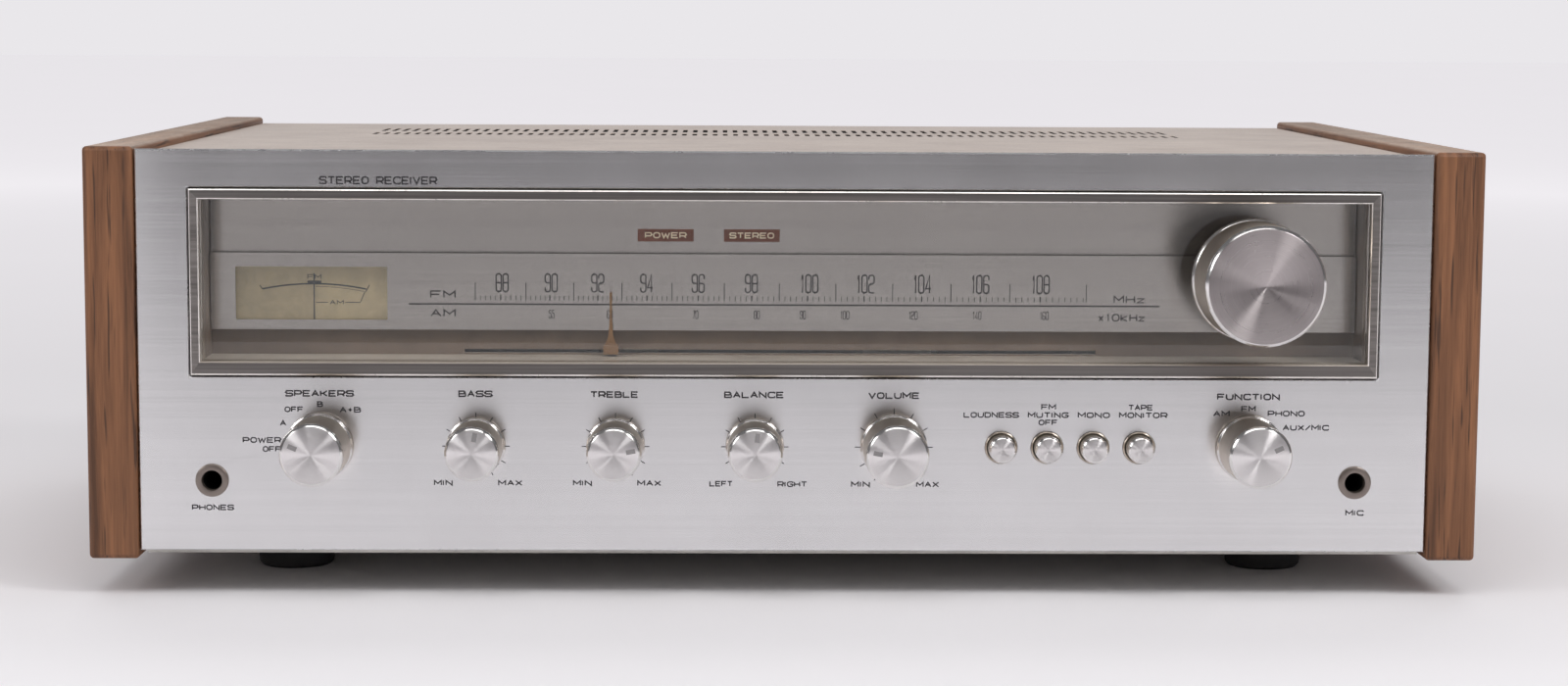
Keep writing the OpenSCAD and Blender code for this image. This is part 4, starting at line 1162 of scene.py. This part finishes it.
# %% The words on the two lit windows
def lamp_words():
    low, high = span("indicator_windows")
    out = ([], [])
    for text, x, width in (("POWER", -39.0, 13.6), ("STEREO", -11.0, 14.6)):
        lettering(out, text, x, (low.z + high.z) / 2 - 1.0, width, 2.0, 0.42)
    ink("indicator_words", out, low.y - FRONT - INK_PROUD, CREAM_INK)


lamp_words()


# %% [markdown]
# ### The meter's card
# The card has an arc round the needle's pivot with a block at its middle, and a thinner band
# under its right half. A ribbon through points on a circle draws each of them.

# %% The print on the meter's card
def card_print():
    low, high = span("meter_card")
    out = ([], [])
    centre_x, pivot_z, top_z = axis_of("meter_needle")[0], 15.7, 98.3
    reach = top_z - pivot_z

    def at(angle, radius):
        return Vector((centre_x + radius * math.sin(angle), pivot_z + radius * math.cos(angle)))

    wide = 0.206
    ribbon([at(-wide + 2 * wide * i / 24, reach) for i in range(25)], 0.5, out)
    line(out, at(-wide, reach), at(-wide, reach) + Vector((-0.9, 1.2)), 0.3)
    line(out, at(wide, reach - 0.9), at(wide, reach) + Vector((1.0, 1.4)), 0.3)
    line(out, at(-0.027, reach + 0.45), at(0.027, reach + 0.45), 1.2)
    ribbon([at(0.006 + (wide - 0.012) * i / 12, reach - 0.9) for i in range(13)], 0.16, out)
    band_z = 92.2
    line(out, at(wide - 0.004, reach - 0.9), Vector((centre_x + 14.9, band_z)), 0.26)
    line(out, (centre_x + 0.5, band_z), (centre_x + 4.4, band_z), 0.26)
    line(out, (centre_x + 10.0, band_z), (centre_x + 14.9, band_z), 0.26)
    lettering(out, "AM", centre_x + 7.2, 91.45, 4.6, 1.5, 0.26)
    lettering(out, "FM", centre_x, 99.8, 4.6, 1.6, 0.26)
    ink("meter_card_print", out, low.y - FRONT - INK_PROUD, INK)


card_print()


# %% [markdown]
# ## Rear fittings
# A phono socket is a pressed nickel shell round a coloured insulator: white for the left
# channel and red for the right. The rear panel has a few plain printed words.

# %% Phono shells and insulators
REAR = span("rear_panel")[1].y - FRONT
RIGHT_ROW, LEFT_ROW = 44, 60
PHONO_PLACES = [(-170 + 20 * i, z) for i in range(6) for z in (RIGHT_ROW, LEFT_ROW)]
SHELL = [(3.5, 4), (3.5, 11.55), (3.75, 11.75), (4.1, 11.75), (4.3, 11.5), (4.3, 3.0), (5.3, 2.9),
         (5.3, 1.7), (4.25, 1.7)]
PLUG = [(1.7, 8), (1.7, 11.62), (1.8, 11.68), (3.3, 11.68), (3.5, 11.5)]


def phono_shells():
    for number, place in enumerate(PHONO_PLACES):
        tone = CREAM_PLASTIC if place[1] == LEFT_ROW else RED_PLASTIC
        parts = (("shell", SHELL, NICKEL, 40), ("insulator", PLUG, tone, 32))
        for part, profile, material, sides in parts:
            outline = [(radius, REAR + out) for radius, out in profile]
            turned(f"phono_{part}_{number + 1}", place, outline, "root", [material],
                   sides=sides)


phono_shells()


# %% Words on the rear panel, drawn as they read from behind
def rear_words():
    out = ([], [])
    inputs = (("PHONO", 170, 8), ("AUX", 150, 5), ("MIC", 130, 5), ("TAPE", 110, 7), ("PLAY", 90, 7),
              ("MAIN", 70, 7))
    words = [(text, x, 70.6, width, 1.9, 0.35) for text, x, width in inputs]
    words += [("L", 185.2, 59.0, 1.8, 1.9, 0.35), ("R", 185.2, 43.0, 1.8, 1.9, 0.35),
              ("ANTENNA", 4, 102.5, 18, 2.4, 0.42), ("SPEAKERS", 4, 62.8, 20, 2.4, 0.42),
              ("AC OUTLETS", -95, 65.0, 26, 2.4, 0.42), ("A", 26, 40.0, 2.2, 2.2, 0.4),
              ("B", -18, 40.0, 2.2, 2.2, 0.4)]
    for word in words:
        lettering(out, *word)
    ink("rear_legends", out, REAR + INK_PROUD, INK, side=-1)


rear_words()


# %% [markdown]
# ## Finishes for the nodes that keep their own shape
# Inner parts and rear fittings have the right shape already. They only change material.

# %% Dress the remaining nodes
DRESS = (
    (HOUSING, "dial_housing"), (DIAL_METAL, "scale_plate upper_dial_panel"),
    (GLASS, "dial_glass meter_lens"), (WINDOW_BROWN, "indicator_windows"),
    (METER_BLACK, "meter_case"), (CARD, "meter_card"), (INK, "meter_needle"),
    (POINTER, "dial_pointer"), (THREAD, "dial_cord"), (BULB, "dial_lamps"),
    (STEEL, "pointer_rail tuning_shaft flywheel"), (BOARD, "circuit_boards"),
    (PALE_PLASTIC, "dial_drum left_idler_pulley right_idler_pulley button_switch_bank"),
    (ZINC, "tuning_capacitor capacitor_rotor tone_control_pots chassis_pan rear_panel front_subpanel"),
    (VARNISHED, "power_transformer"), (BLACK_SCREW, "heat_sink case_screws"),
    (BLUE_SLEEVE, "filter_capacitors"), (PHENOLIC, "rotary_switches"), (NICKEL, "shaft_nuts"),
    (RUBBER, "feet power_cord_grommet"), (BRASS, "terminal_screws"),
    (DARK_PLASTIC, "rca_jack_panel antenna_terminals speaker_terminals ac_outlets antenna_bracket "
                   "ferrite_antenna"),
)
for material, nodes in DRESS:
    for node in nodes.split():
        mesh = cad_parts[node].data
        mesh.materials.clear()
        mesh.materials.append(material)
        print("dressed", node, "in", material.name)
for node in ("dial_glass", "meter_lens"):
    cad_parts[node].visible_shadow = False
